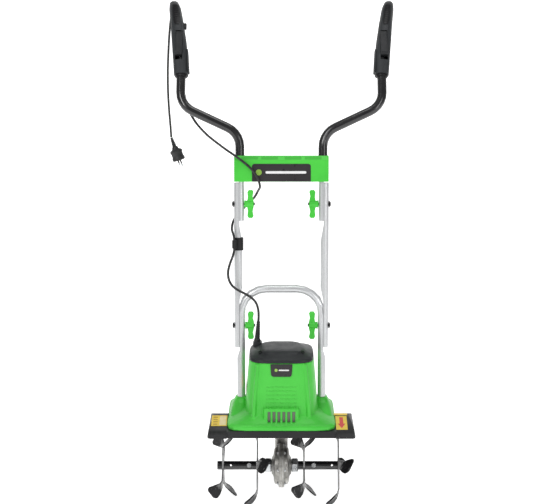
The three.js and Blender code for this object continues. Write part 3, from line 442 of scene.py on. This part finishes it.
def silver_paint():
    """Silver powder coat over drawn tube: fine speckle and faint lines along the tube."""
    surface = Surface("silver_paint", roughness=0.34, metallic=0.6, coat=0.1)
    surface.colours(surface.noise(700, 2), (0.56, 0.57, 0.58), (0.70, 0.71, 0.72))
    surface.rough(surface.noise(30, 4, (1, 1, 0.1)), 0.28, 0.42)
    return surface.bump(surface.noise(500, 2, (1, 1, 0.15)), 0.15, 0.0001).material


def black_gloss():
    """Glossy black enamel with orange peel."""
    surface = Surface("black_gloss", roughness=0.2, coat=0.6)
    surface.shader.inputs["Coat Roughness"].default_value = 0.08
    surface.colours(surface.noise(12), (0.003, 0.003, 0.004), (0.007, 0.007, 0.008))
    surface.rough(surface.noise(50), 0.16, 0.3)
    return surface.bump(surface.noise(160, 1), 0.12, 0.0002).material


def die_cast():
    """Raw die-cast aluminium: mottled, darker in patches and pitted."""
    surface = Surface("die_cast", roughness=0.45, metallic=0.85)
    surface.colours(surface.noise(60, 6), (0.20, 0.195, 0.18), (0.58, 0.57, 0.54), 0.3, 0.7)
    surface.rough(surface.noise(130, 4), 0.3, 0.6)
    surface.bump(surface.noise(420, 4), 0.5, 0.0005)
    return surface.bump(surface.noise(60, 2), 0.3, 0.0012).material


def plated(name, dark, light, roughness):
    """Zinc plated or ground steel with turning marks and slight stains."""
    surface = Surface(name, roughness=roughness, metallic=0.95)
    surface.colours(surface.noise(45, 5), dark, light)
    surface.rough(surface.noise(200, 3, (6, 1, 1)), roughness - 0.1, roughness + 0.15)
    return surface.bump(surface.noise(300, 2, (8, 1, 1)), 0.2, 0.0002).material


def tine_steel():
    """Spring steel: black lacquer on the blades, scuffed and worn bright along the arms."""
    surface = Surface("tine_steel", roughness=0.42, metallic=0.3, specular=0.35)
    axle = at(0, 0, AXLE_Z)
    deep = surface.math("SUBTRACT", surface.axis("Y"), axle.y)
    high = surface.math("SUBTRACT", surface.axis("Z"), axle.z)
    squares = [surface.math("MULTIPLY", distance, distance) for distance in (deep, high)]
    reach = surface.math("SQRT", surface.math("ADD", *squares))
    worn = surface.ranged(reach, 72 * MM, 90 * MM, 0.5, 0)
    scuff = surface.math("ADD", worn, surface.noise(70, 5, (1, 3, 1)))
    surface.colours(scuff, (0.007, 0.007, 0.008), (0.34, 0.34, 0.34), 0.60, 1.05)
    surface.rough(surface.noise(110, 4), 0.3, 0.55)
    return surface.bump(surface.noise(240, 4), 0.3, 0.0003).material


def cable_jacket():
    """Black cable jacket: matt rubber with faint dust and a fine grain."""
    surface = Surface("cable_jacket", roughness=0.5)
    surface.colours(surface.noise(60), (0.008, 0.008, 0.009), (0.02, 0.02, 0.021))
    surface.rough(surface.noise(150), 0.42, 0.6)
    return surface.bump(surface.noise(600, 2), 0.2, 0.0001).material


def printed(name, dark, light):
    """Printed film: even colour, faint mottling and a smooth skin."""
    surface = Surface(name, roughness=0.3, coat=0.3)
    surface.colours(surface.noise(80), dark, light)
    return surface.bump(surface.noise(300), 0.05, 0.00005).material


def laminations():
    """Varnished laminations: thin lines up the stack."""
    surface = Surface("laminations", roughness=0.45, metallic=0.8)
    thickness = 0.5 * MM
    lines = surface.math("PINGPONG", surface.axis("Z"), thickness)
    surface.colours(surface.ranged(lines, 0, thickness, 0, 1), (0.10, 0.10, 0.10), (0.30, 0.29, 0.28))
    return surface.bump(surface.noise(300), 0.2, 0.0002).material


def studio_white():
    """Even white with a little light of its own, so that the floor and backdrop stay clean."""
    surface = Surface("studio_white", roughness=0.9, specular=0.1)
    surface.colours(surface.noise(2), (0.90, 0.90, 0.90), (0.92, 0.92, 0.92))
    surface.shader.inputs["Emission Color"].default_value = (1, 1, 1, 1)
    surface.shader.inputs["Emission Strength"].default_value = 0.72
    return surface.material


LOOK = {
    "housing": green_housing(),
    "green": plastic("green_plastic", (0.055, 0.52, 0.045), (0.075, 0.60, 0.06), 0.38, coat=0.1).material,
    # darker green with the shade of the crossbar's recesses painted into its colour
    "shaded_green": plastic("green_painted_recess_shade", (0.035, 0.40, 0.03), (0.05, 0.46, 0.04), 0.42).material,
    "hood": plastic("hood_black", (0.009, 0.009, 0.010), (0.015, 0.015, 0.016), 0.42, 500, 0.0002).material,
    "cap": plastic("cap_grey", (0.015, 0.017, 0.019), (0.023, 0.025, 0.028), 0.45, 600, 0.0002).material,
    "grip": plastic("grip_grey", (0.020, 0.022, 0.024), (0.032, 0.035, 0.038), 0.52, 450, 0.0003).material,
    "lever": plastic("lever_black", (0.010, 0.011, 0.012), (0.016, 0.017, 0.019), 0.5, 450, 0.0003).material,
    "black": plastic("black_plastic", (0.005, 0.005, 0.006), (0.010, 0.010, 0.011), 0.42).material,
    "badge": plastic("badge_grey", (0.026, 0.023, 0.025), (0.036, 0.033, 0.035), 0.3, 1200,
                     0.00005).material,
    "nylon": plastic("nylon", (0.62, 0.60, 0.54), (0.70, 0.68, 0.62), 0.45).material,
    "silver": silver_paint(),
    "gloss": black_gloss(),
    "cast": die_cast(),
    "zinc": plated("zinc_plate", (0.50, 0.52, 0.54), (0.74, 0.75, 0.76), 0.28),
    "steel": plated("ground_steel", (0.32, 0.33, 0.34), (0.5, 0.5, 0.5), 0.35),
    "bronze": plated("bronze", (0.42, 0.25, 0.10), (0.60, 0.38, 0.17), 0.35),
    "core": laminations(),
    "tine": tine_steel(),
    "cable": cable_jacket(),
    "yellow": printed("label_yellow", (0.78, 0.52, 0.02), (0.86, 0.60, 0.04)),
    "amber": printed("label_amber", (0.42, 0.24, 0.01), (0.50, 0.30, 0.02)),
    "cream": printed("label_cream", (0.80, 0.62, 0.30), (0.86, 0.70, 0.40)),
    "red": printed("label_red", (0.62, 0.03, 0.02), (0.72, 0.05, 0.03)),
    "white": printed("badge_white", (0.72, 0.72, 0.72), (0.80, 0.80, 0.80)),
    "lime": printed("badge_lime", (0.22, 0.42, 0.05), (0.30, 0.52, 0.08)),
    # grey set lighter to offset the shade inside the ventilation slots: painted light
    "vent": plastic("vent_painted_light_grey", (0.15, 0.16, 0.13), (0.21, 0.22, 0.19), 0.6).material,
}


# ---------------------------------------------------------------- camera and cords
def camera():
    data = bpy.data.cameras.new("camera")
    data.lens, data.sensor_width, data.shift_x = CAMERA_LENS, CAMERA_SENSOR, CAMERA_SHIFT
    view = bpy.data.objects.new("camera", data)
    bpy.context.scene.collection.objects.link(view)
    back = Vector((0, -math.cos(CAMERA_PITCH), math.sin(CAMERA_PITCH)))
    view.location = at(*CAMERA_AIM) + back * CAMERA_DISTANCE * MM
    view.rotation_euler = (math.pi / 2 - CAMERA_PITCH, 0, 0)
    bpy.context.scene.camera = view


def lead(name, points):
    """A lead's skin along its points, and its smoothed route in metres."""
    route = smooth_route([at(*p) for p in points])
    verts, faces = tubed(route, LEAD_RADIUS)
    return new_piece(name, verts, faces, LOOK["cable"], 60), route


def plug():
    """Moulded plug hanging at the lead's end: ribbed neck, waisted body, two pins."""
    x, y, z = MAINS_LEAD[-1]
    top = at(x + 0.6, y, z - 1.3)
    down = Vector((-math.sin(PLUG_TILT), 0, -math.cos(PLUG_TILT)))
    side = Matrix.Rotation(PLUG_TURN, 3, down) @ Vector((0, 1, 0)).cross(down).normalized()
    neck, rib_pitch, rib_low, rib_growth, groove = [(0, 0)], 4.4, 4.4, 0.45, 1.3
    for i in range(6):
        step, radius = rib_pitch * i, rib_low + rib_growth * i
        neck += [(radius, step), (radius, step + 2.6)]
        neck += [(radius - groove, step + 2.9), (radius - groove, step + 4.2)]
    body = [(7.5, 27), (9, 30), (10, 34), (15.5, 37), (18, 39.5), (18.4, 43), (16.8, 46), (16.4, 54),
            (16.8, 57), (18.4, 60), (18.4, 66), (17.4, 68), (0, 68)]
    sleeve = [(0, 66), (2.2, 66), (2.2, 77), (0, 77)]
    tip = [(0, 77), (2.3, 77), (2.4, 78), (2.4, 85), (1.6, 87), (0, 87)]
    bases = [top + side * PIN_OFFSET * sign * MM for sign in (-1, 1)]
    parts = [lathed(neck + body, top, down, 32)] + [lathed(sleeve, base, down, 12) for base in bases]
    piece = new_piece("plug", *merged(parts), LOOK["cable"])
    fit(piece, "upper_handle", "cable_rubber", "mains_plug")
    tips = [lathed(tip, base, down, 12) for base in bases]
    pins = new_piece("plug_pins", *merged(tips), LOOK["zinc"])
    fit(pins, "upper_handle", "plated_steel")
    return piece, pins


def cords():
    lower, lower_route = lead("motor_lead_low", MOTOR_LEAD_LOWER)
    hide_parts("motor_lead_lower")
    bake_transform(lower, "base", "mid_frame", start=at(-62, 41, 520), end=at(-126, 44, 700))
    upper, upper_route = lead("motor_lead_high", MOTOR_LEAD_UPPER)
    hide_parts("motor_lead_upper")
    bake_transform(upper, "mid_frame", "upper_handle", start=at(-128, 50, 730), end=at(-57, 62, 875))
    mains, mains_route = lead("mains_flex", MAINS_LEAD)
    fit(mains, "upper_handle", "cable_rubber", "mains_lead")
    plug()


def tapered_gland(length, ribs, low, high):
    """Lathe profile of a ribbed sleeve that narrows towards the cable."""
    profile = [(0, 0)]
    for i in range(ribs):
        step, radius = length * i / ribs, low + (high - low) * i / ribs
        profile += [(radius, step), (radius, step + 0.62 * length / ribs),
                    (radius - 1, step + 0.7 * length / ribs), (radius - 1, step + 0.96 * length / ribs)]
    return profile + [(high, length), (0, length)]


def glands():
    """Ribbed sleeves where the leads leave the motor cap and the right grip."""
    lean, collar, collar_top = math.radians(4), [(0, 0), (8.8, 0), (8.8, 4.5)], 6
    ribs = tapered_gland(length=49, ribs=9, low=7.2, high=4.6)[1:]
    profile = collar + [(radius, z + collar_top) for radius, z in ribs]
    sleeve = lathed(profile, at(-66, 41, 443), (math.sin(lean), 0, math.cos(lean)))
    motor = new_piece("motor_gland", *sleeve, LOOK["cable"], 40)
    fit(motor, "base", "cable_rubber", "motor_strain_relief")
    start, ahead, sunk = at(*MAINS_LEAD[0]), at(*MAINS_LEAD[1]), 4
    out = (ahead - start).normalized()
    sleeve = lathed(tapered_gland(length=24, ribs=4, low=6.6, high=4.2), start - out * sunk * MM, out)
    fit(new_piece("mains_gland", *sleeve, LOOK["cable"], 40), "upper_handle", "cable_rubber")


# ---------------------------------------------------------------- housing and cap
SKIRT = [
    (0, 0, 244.3, 144.2, 114.8, 9), (0, 0, 254, 143.8, 114.4, 9), (0, 0, 258, 140.5, 111.5, 7),
    (0, 0, 261, 133, 105.5, 6), (0, 0, 268, 114, 98, 4.4), (0, 0, 276, 98, 90.5, 4),
]
MOTOR_BODY = [
    (0, 0, 250, 96.4, 88.4, 4.5), (0, 0, 317, 94.6, 86.6, 4.5), (0, 0, 380, 89.5, 82.2, 4.5),
    (0, 0, 418, 86.2, 79.8, 4.5),
]
BOOT = [
    (118, 2, 246, 22.3, 72, 4), (117.4, 6, 262, 20.8, 60, 3.8), (116.5, 11, 272, 19.2, 44, 3.5),
    (112, 16.5, 284, 17, 26, 3.2), (110.4, 17.4, 291, 15, 18.5, 3), (110, 17.5, 294, 14, 17, 2.8),
]
SLOT_PANEL = (-46, 46, -97, -70, 250, 300)


def block(x0, x1, y0, y1, z0, z1):
    """A box between two values on each axis."""
    return plate([(x0, y0), (x1, y0), (x1, y1), (x0, y1)], at(0, 0, z0), (1, 0, 0), (0, 1, 0), z1 - z0)


def mirrored(levels):
    return [(-level[0], *level[1:]) for level in levels]


def corner_ridge(side):
    """A low upright ridge where the front face turns into the side."""
    section = [(-1, -0.6), (-0.4, -1.1), (0.4, -1.1), (1, -0.6), (1, 1), (-1, 1)]
    levels = [(262, 74, -85.5, 6), (300, 72, -83.5, 5.5), (360, 67, -79.5, 5), (416, 62, -76.5, 4)]
    return lofted([[at(side * x + dx * half, y + dy * half, z) for dx, dy in section]
                   for z, x, y, half in levels])


def slope(side):
    """The flank beside the slot panel, which runs down from the body to the skirt's front edge."""
    low, brow, rings = 250, 257, []
    for x, high, front in ((47, 286, -92), (60, 284, -97), (92, 268, -101), (118, 256, -88)):
        section = [(front, low), (front + 1, brow), (front + 8, (brow + high) / 2), (-80, high),
                   (-60, high), (-60, low)]
        rings.append([at(side * x, y, z) for y, z in section])
    return lofted(rings)


def slot_blocks(half, front, low, high):
    """One block in each ventilation slot's place, from the front back to the slots' floor."""
    floor = -84
    return merged([block(x - half, x + half, front, floor, low, high) for x in SLOT_X])


def housing():
    """One moulded skin over skirt, motor body, boots, ridges, slopes and slot panel, with its slots cut."""
    shapes = [tower(SKIRT), tower(MOTOR_BODY), tower(BOOT, 40), tower(mirrored(BOOT), 40)]
    shapes += [corner_ridge(side) for side in (1, -1)] + [slope(side) for side in (1, -1)]
    shapes.append(block(*SLOT_PANEL))
    piece = new_piece("housing_shell", *merged(shapes), LOOK["housing"])
    remesh = piece.modifiers.new("one_skin", "REMESH")
    remesh.mode, remesh.voxel_size = "VOXEL", 1.8 * MM
    melt = piece.modifiers.new("moulded", "SMOOTH")
    melt.factor, melt.iterations = 0.5, 3
    applied(piece)
    cutters = slot_blocks(half=4, front=-110, low=261.5, high=291)
    slots = new_piece("slot_tools", *cutters, LOOK["vent"])
    cut = piece.modifiers.new("slots", "BOOLEAN")
    cut.operation, cut.object, cut.solver = "DIFFERENCE", slots, "EXACT"
    applied(piece)
    bpy.data.objects.remove(slots)
    piece.data.shade_smooth()
    piece.data.set_sharp_from_angle(angle=math.radians(50))
    fit(piece, "base", "green_shell", "housing_front", "housing_rear")
    # The fins' grey is lifted against the shade in the slots: painted light.
    fins = slot_blocks(half=4.2, front=-94.6, low=261.3, high=291.2)
    fit(new_piece("vent_fins", *fins, LOOK["vent"]), "base", "black_shell")


CAP = [
    (0, 0, 418.4, 85.6, 79.6, 4.5), (0, 0, 421, 86, 80, 4.5), (0, 0, 426, 84.8, 78.6, 4.2),
    (0, -3, 428.5, 81, 73, 3.6), (0, -6, 431.5, 74, 65, 3.2), (0, -8, 434.5, 66, 58, 3.1),
    (0, -8, 438, 60.5, 53, 3.1), (0, -8, 441, 55, 48, 3.1), (0, -8, 442.8, 43, 38, 3),
    (0, -8, 443.4, 26, 24, 2.8), (0, -8, 443.5, 10, 9, 2.4),
]
CAP_TOP = [
    (0, -8, 428, 56, 54, 5), (0, -8, 438, 54.5, 52, 5), (0, -8, 441.4, 52, 48, 5),
    (0, -6, 443.6, 45, 42, 4.5), (0, -4, 444.4, 32, 30, 4), (0, -2, 444.6, 12, 12, 3),
]
CABLE_TURRET = [(-65, 42, 420, 13.6, 13.6, 5), (-65, 42, 440, 12, 12, 5), (-65, 42, 442, 10.8, 10.8, 5)]
CAP_SCREW = [(0, 0), (5.4, 0), (5.4, 1.3), (3.9, 1.4), (3.7, 0.6), (0, 0.6)]
CAP_SCREW_PLACE = (56, -44, 437.6)


def motor_cap():
    shapes = [tower(CAP), tower(CAP_TOP), tower(CABLE_TURRET, 28)]
    piece = new_piece("cap_shell", *merged(shapes), LOOK["cap"], 28)
    fit(piece, "base", "grey_cap", "motor_cap")
    x, y, z = CAP_SCREW_PLACE
    # The screw recesses are black dishes: painted shade of the hollows round the screw heads.
    shaded_dishes = [lathed(CAP_SCREW, at(sign * x, y, z), (sign * 0.25, -0.3, 1), 24) for sign in (-1, 1)]
    fit(new_piece("cap_screw_shade_dishes", *merged(shaded_dishes), LOOK["black"]), "base", "grey_cap")


def badge_mark(name, place, x_axis, y_axis, body, dot_x, bar, scale):
    """A plain disc and bar in place of any name: dot_x is the disc's middle and scale its radius."""
    sides, thick = 20, 0.25
    angles = [i * math.tau / sides for i in range(sides)]
    disc = [(dot_x + scale * math.cos(angle), scale * math.sin(angle)) for angle in angles]
    dot = plate(disc, place, x_axis, y_axis, thick)
    fit(new_piece(name + "_dot", *dot, LOOK["lime"]), body, "green_shell")
    (x0, x1), half = bar, 0.42 * scale
    outline = [(x + (x0 + x1) / 2, y) for x, y in rounded_outline((x1 - x0) / 2, half, half * 0.9)]
    line = plate(outline, place, x_axis, y_axis, thick)
    fit(new_piece(name + "_bar", *line, LOOK["white"]), body, "plated_steel")


def housing_badge():
    """Dark plate at the top of the front face, narrower at its foot."""
    outline = [(-29, 16), (29, 16), (27, -12), (25.5, -16), (22, -18), (-22, -18), (-25.5, -16), (-27, -12)]
    place, up, thick = at(0, -81.6, 401), (0, 0.075, 1), 2.0
    piece = new_piece("housing_badge", *plate(outline, place, (1, 0, 0), up, thick), LOOK["badge"])
    soften(piece, 0.8)
    fit(piece, "base", "grey_cap")
    face = place - Vector((0, thick + 0.05, 0)) * MM
    badge_mark("housing_mark", face, (1, 0, 0), up, "base", dot_x=-14, bar=(-7, 20), scale=4.2)


FILM_CORNER, PRINT_LIFT = 1.5, 0.4


def film(name, colour, place, wide, deep, along=HOOD_SLOPE):
    """A film with rounded corners, wide across the machine and deep along its slope."""
    thick = 0.2
    shape = plate(rounded_outline(wide / 2, deep / 2, FILM_CORNER), place, (1, 0, 0), along, thick)
    fit(new_piece(name, *shape, LOOK[colour]), "base", "black_shell")


def labels():
    """Plain coloured films without lettering; their names say left and right as seen from the front."""
    film("label_left_back", "yellow", on_hood(-165.5, -62), 41, 50)
    film("label_left_block", "cream", on_hood(-156, -62, PRINT_LIFT), 17, 42)
    first_line, line_pitch = -78, 10.5
    for i in range(4):
        place = on_hood(-175.5, first_line + line_pitch * i, PRINT_LIFT)
        film(f"label_left_line_{i + 1}", "amber", place, 12, 4.5)
    film("label_right_back", "yellow", on_hood(159.5, -72), 30, 64)
    film("label_right_strip", "yellow", at(159, -31, 259), 36, 11, (0, 14, 2))
    arrow = [(-5, 26), (5, 26), (5, -4), (10, -4), (0, -26), (-10, -4), (-5, -4)]
    shape = plate(arrow, on_hood(159.5, -72, PRINT_LIFT + 0.05), (1, 0, 0), HOOD_SLOPE, 0.15)
    fit(new_piece("label_arrow", *shape, LOOK["red"]), "base", "black_shell")
    side = plate(rounded_outline(24, 15, FILM_CORNER), at(-94.2, -20, 338), (0, -1, 0), (0.03, 0, 1), 0.3)
    fit(new_piece("label_motor_side", *side, LOOK["yellow"]), "base", "green_shell")


# ---------------------------------------------------------------- crossbar
RECESS_X = (-84, -31, 31, 84)
RECESS_Y, RECESS_Z = -17.8, 648.7                # along the handle line, on the crossbar's upper chamfer


def along_handle(y, z):
    """A direction given along the handle line."""
    return on_handle(0, y, z) - on_handle(0, 0, 0)


def crossbar():
    """The two refined shells, a badge plate with rounded upper corners and, above it, four thin darker green
    plates with the recesses' shade painted on.
    """
    for node in ("crossbar_front", "crossbar_rear"):
        refined(node, LOOK["green"], "green_shell", edge=2.2)
    half_wide, half_high = 78, 23.5
    rounded_top = [(x, y) for x, y in rounded_outline(half_wide, half_high, 7) if y > 0]
    panel = [(-half_wide, -half_high), (half_wide, -half_high), *rounded_top]
    place = on_handle(0, 0.6 - CROSSBAR_FACE, CROSSBAR_Z)
    up = along_handle(0, 1)
    piece = new_piece("crossbar_badge", *plate(panel, place, (1, 0, 0), up, 1.6), LOOK["badge"])
    soften(piece, 0.6)
    fit(piece, "upper_handle", "grey_cap")
    mark = on_handle(0, -CROSSBAR_FACE - 1.05, CROSSBAR_Z + 1)
    badge_mark("crossbar_mark", mark, (1, 0, 0), up, "upper_handle", dot_x=-60, bar=(-42, 66), scale=8)
    outline, slant = rounded_outline(22, 4.2, 1.5), along_handle(7, 12)
    for i, x in enumerate(RECESS_X):
        # Each recess is a thin darker green plate on the chamfer, not a hollow: painted shade.
        recess = plate(outline, on_handle(x, RECESS_Y, RECESS_Z), (1, 0, 0), slant, 0.35)
        piece = new_piece(f"crossbar_painted_recess_{i + 1}", *recess, LOOK["shaded_green"])
        fit(piece, "upper_handle", "green_shell")


# ---------------------------------------------------------------- tubes, bolts, knobs and clip
def tubes():
    refined("lower_frame", LOOK["silver"], "silver_tube", smooth_angle=50)
    for side in SIDES:
        refined(f"mid_tube_{side}", LOOK["silver"], "silver_tube", smooth_angle=50)
        refined(f"stub_tube_{side}", LOOK["silver"], "silver_tube", smooth_angle=50)
        refined(f"handle_tube_{side}", LOOK["gloss"], "black_tube", smooth_angle=50)


def through_bolt(level, side):
    """Dome head outside the tubes and a shank that runs through them into the knob."""
    sign, z = SIDES[side], BOLT_HEIGHTS[level]
    across = (sign, 0, 0)
    dome = [(0, 0), (8, 0), (8.2, 1), (7.8, 2.4), (6.4, 3.7), (4, 4.6), (1.6, 4.9), (0, 5)]
    shank_end = BOLT_HEAD_X + 0.2
    shank = [(0, 71), (3.6, 71), (4, 71.8), (4, shank_end), (0, shank_end)]
    parts = [lathed(dome, on_handle(sign * BOLT_HEAD_X, 0, z), across),
             lathed(shank, on_handle(0, 0, z), across, 20)]
    piece = new_piece(f"{level}_bolt_{side}_skin", *merged(parts), LOOK["black"])
    fit(piece, "mid_frame", "plated_steel", f"{level}_bolt_{side}")


# a ring between the knob and the tube's face, which is at height 0
KNOB_COLLAR = [(4.5, -5), (9.4, -5), (9.6, -4), (9.6, -1.1), (9.1, -0.4), (4.5, -0.4), (4.5, -5)]


def fastenings():
    """Bolts, wing knobs with their collars and the cable clip."""
    for level, z in BOLT_HEIGHTS.items():
        for side, sign in SIDES.items():
            through_bolt(level, side)
            refined(f"{level}_knob_{side}", LOOK["green"], "green_knob", edge=1.8)
            collar = lathed(KNOB_COLLAR, on_handle(sign * TUBE_FACE[level], 0, z), (sign, 0, 0))
            piece = new_piece(f"{level}_collar_{side}", *collar, LOOK["green"])
            fit(piece, body_of(f"{level}_knob_{side}"), "green_knob")
    refined("cable_clip", LOOK["black"], "black_shell", edge=0.8)


# ---------------------------------------------------------------- grips
def grip_line(along, side):
    """Middle of the grip at a distance from its lower end, with its up and front directions."""
    rise = GRIP_START - GRIP_TUBE_START
    lean = math.radians(GRIP_LEAN[0])
    y, z, steps = rise * math.sin(lean), GRIP_TUBE_START + rise * math.cos(lean), 40

    def angle_at(s):
        curl = (max(0, s) / GRIP_LENGTH) ** GRIP_CURL
        return math.radians(GRIP_LEAN[0] + (GRIP_LEAN[1] - GRIP_LEAN[0]) * curl)

    for i in range(steps):
        angle = angle_at((i + 0.5) * along / steps)
        y += math.sin(angle) * along / steps
        z += math.cos(angle) * along / steps
    x = side * (GRIP_TUBE_X + GRIP_OUTWARD * (along / GRIP_LENGTH) ** 1.5)
    angle = angle_at(along) + HANDLE_LEAN
    up = Vector((0, math.sin(angle), math.cos(angle)))
    front = Vector((0, -math.cos(angle), math.sin(angle)))
    return on_handle(x, y, z), up, front


def front_depth(along):
    """Distance from the grip's middle to its front, read off the GRIP_FRONT table."""
    for (a, depth_a), (b, depth_b) in zip(GRIP_FRONT, GRIP_FRONT[1:]):
        if along <= b:
            return depth_a + (depth_b - depth_a) * (along - a) / (b - a)
    return GRIP_FRONT[-1][1]


def grip_strip(side, stations, lift, thick):
    """A strip laid on the grip's front: stations of (distance along, half width)."""
    steps, across, rings = 3, Vector((1, 0, 0)), []
    for along, half in stations:
        middle, _, front = grip_line(along, side)
        top = front_depth(along) + lift
        offsets = [half * k / steps for k in range(-steps, steps + 1)]
        outline = [(x, top) for x in offsets] + [(x, top - thick) for x in reversed(offsets)]
        rings.append([middle + (across * x + front * (depth - x * x / (2 * GRIP_ROUND))) * MM
                      for x, depth in outline])
    return lofted(rings)


GRIP_BUSHING = [(12.8, -7), (15.2, -6.4), (15.6, -5), (15.6, -1), (16.6, -0.8), (16.6, 1), (12.8, 1)]
THUMB_REST = [(138, 4), (141, 7.5), (150, 9.2), (175, 9.2), (200, 8), (212, 5.5), (216, 2.5)]
THUMB_RIBS = range(146, 206, 7)
GRIP_FLANGE = [(-14, -33), (12, -33), (14, -29), (14, 22), (8, 33), (-10, 33), (-14, 26)]
FLANGE_SPAN, FLANGE_INWARD = (6, 72), 17.6


def grip_details(name, sign):
    """Bushing at the grip's foot, ribbed thumb rest over the lever and the flange on its inner side."""
    foot, up, _ = grip_line(0, sign)
    piece = new_piece(f"grip_bushing_{name}", *lathed(GRIP_BUSHING, foot, up, 32), LOOK["black"])
    fit(piece, "upper_handle", "cable_rubber")
    ribs = [[(start, 7), (start + 0.8, 7.4), (start + 2.2, 7.4), (start + 3, 7)] for start in THUMB_RIBS]
    strips = [grip_strip(sign, THUMB_REST, 0.7, 3)] + [grip_strip(sign, rib, 1.5, 2.5) for rib in ribs]
    piece = new_piece(f"thumb_rest_{name}", *merged(strips), LOOK["black"], 45)
    fit(piece, "upper_handle", "black_shell")
    low, high = [grip_line(along, sign)[0] for along in FLANGE_SPAN]
    inward, long_way = Vector((-sign, 0, 0)), (high - low).normalized()
    place = (low + high) / 2 + inward * FLANGE_INWARD * MM
    flange = plate(GRIP_FLANGE, place, long_way.cross(inward), long_way, 4.6)
    piece = new_piece(f"grip_flange_{name}", *flange, LOOK["grip"])
    soften(piece, 2.0)
    fit(piece, "upper_handle", "grip_grey")


def grips():
    for side, sign in SIDES.items():
        for half in ("outer", "inner"):
            refined(f"grip_{side}_{half}", LOOK["grip"], "grip_grey", edge=0.8, smooth_angle=45)
        refined(f"lever_{side}", LOOK["lever"], "black_shell", edge=1.6)
        grip_details(side, sign)
    refined("lock_button", LOOK["black"], "black_shell", edge=1.2)


# ---------------------------------------------------------------- gearbox and rotor
BOLT_CIRCLE, FLANGE_HALF, BOLT_SIZE = 54.6, 8.3, 3.4
RIB_SHAPE = [(8, 24), (21.5, 24), (19.5, 36), (16.6, 48), (8, 50.5)]
RIB_THICK = 3.2
NECK_RIB = [(15, 36), (22, 40), (22, 64), (15, 68)]
NECK_RIB_HEIGHTS = (172, 196)


def bolt_head(place, direction, size):
    """A hexagon head over its flange; size is the head's radius to its corners."""
    flange = size + 1.6
    return lathed([(0, -1), (flange, -1), (flange, 0.4), (size, 0.5), (size, 3.4), (size - 0.8, 4), (0, 4)],
                  place, direction, 6)


def flange_bolts():
    """Seven heads on each side of the split flange, with a gap at the neck."""
    heads = []
    for sign in (1, -1):
        for i in range(7):
            angle = math.radians(-150 + 50 * i)
            y, z = BOLT_CIRCLE * math.sin(angle), AXLE_Z - BOLT_CIRCLE * math.cos(angle)
            heads.append(bolt_head(at(FLANGE_HALF * sign, y, z), (sign, 0, 0), BOLT_SIZE))
    fit(new_piece("gearbox_bolts", *merged(heads), LOOK["zinc"]), "base", "plated_steel")


def casting_ribs():
    """Eight spokes round each side of the gear case and two level ribs beside its neck."""
    ribs = []
    for sign in (1, -1):
        across = Vector((sign, 0, 0))
        for i in range(8):
            out = Matrix.Rotation(math.radians(-157.5 + 45 * i), 3, "X") @ Vector((0, 0, 1))
            place = at(0, 0, AXLE_Z) - across.cross(out) * RIB_THICK / 2 * MM
            ribs.append(plate(RIB_SHAPE, place, across, out, RIB_THICK))
        for z in NECK_RIB_HEIGHTS:
            ribs.append(plate(NECK_RIB, at(0, 0, z), across, (0, 1, 0), sign * RIB_THICK))
    piece = new_piece("gearbox_ribs", *merged(ribs), LOOK["cast"])
    soften(piece, 0.7, 2)
    fit(piece, "base", "diecast")


def gearbox():
    for side in SIDES:
        refined(f"gearbox_{side}", LOOK["cast"], "diecast", edge=1.2)
    flange_bolts()
    casting_ribs()


def rotor():
    for side in SIDES:
        refined(f"tine_tube_{side}", LOOK["gloss"], "black_tube", edge=0.3, smooth_angle=45)
        refined(f"tine_bolt_{side}", LOOK["zinc"], "plated_steel", edge=0.6)
        refined(f"hex_collar_{side}", LOOK["zinc"], "plated_steel", edge=0.8)
    for i in range(4):
        refined(f"tine_star_{i + 1}", LOOK["tine"], "tine_steel", edge=0.7)


# ---------------------------------------------------------------- what stays as CAD
INSIDE = {
    "steel": ["axle_shaft", "worm_shaft", "motor_shaft", "worm_bearing",
              "axle_bearing_left", "axle_bearing_right"],
    "bronze": ["worm_wheel"], "core": ["stator_core", "armature_core"],
    "nylon": ["reduction_gear", "cooling_fan"], "black": ["gear_carrier", "switch_block"],
}


def inner_parts():
    """Materials for the CAD nodes inside the shells, which keep their own shapes."""
    for look, nodes in INSIDE.items():
        for node in nodes:
            materials = frame["nodes"][node].data.materials
            materials.clear()
            materials.append(LOOK[look])


# ---------------------------------------------------------------- studio
LIT_POINT = Vector((0, 0, 0.6))


def softbox(name, place, wide, high, power):
    """A rectangular light at a place in metres, turned towards the lit point."""
    data = bpy.data.lights.new(name, "AREA")
    data.shape, data.size, data.size_y, data.energy = "RECTANGLE", wide, high, power
    light = bpy.data.objects.new(name, data)
    bpy.context.scene.collection.objects.link(light)
    light.location = place
    light.rotation_euler = (LIT_POINT - light.location).to_track_quat("-Z", "Y").to_euler()


def studio():
    """White floor and backdrop, a white sky and three softboxes, in metres and watts."""
    white, half, back, quad = studio_white(), 7, 6, [(0, 1, 2, 3)]
    ground = [(-half, -half, 0), (half, -half, 0), (half, back, 0), (-half, back, 0)]
    floor = new_piece("floor", ground, quad, white)
    wall = [(-half, back, 0), (half, back, 0), (half, back, half), (-half, back, half)]
    backdrop = new_piece("backdrop", wall, quad, white)
    world = bpy.data.worlds.new("studio")
    bpy.context.scene.world = world
    world.use_nodes = True
    world.node_tree.nodes["Background"].inputs["Color"].default_value = (1, 1, 1, 1)
    world.node_tree.nodes["Background"].inputs["Strength"].default_value = 0.30
    bpy.context.scene.view_settings.view_transform = "Standard"
    softbox("key", (-1.5, -2.3, 2.3), wide=0.7, high=1.8, power=32)
    softbox("fill", (1.8, -2.4, 1.5), wide=0.5, high=1.8, power=17)
    softbox("top", (0.2, -0.4, 3.2), wide=1.8, high=1.2, power=18)


camera()
cords()
glands()
housing()
motor_cap()
housing_badge()
refined("hood", LOOK["hood"], "black_shell", edge=2.4)
labels()
crossbar()
tubes()
fastenings()
grips()
gearbox()
rotor()
inner_parts()
studio()
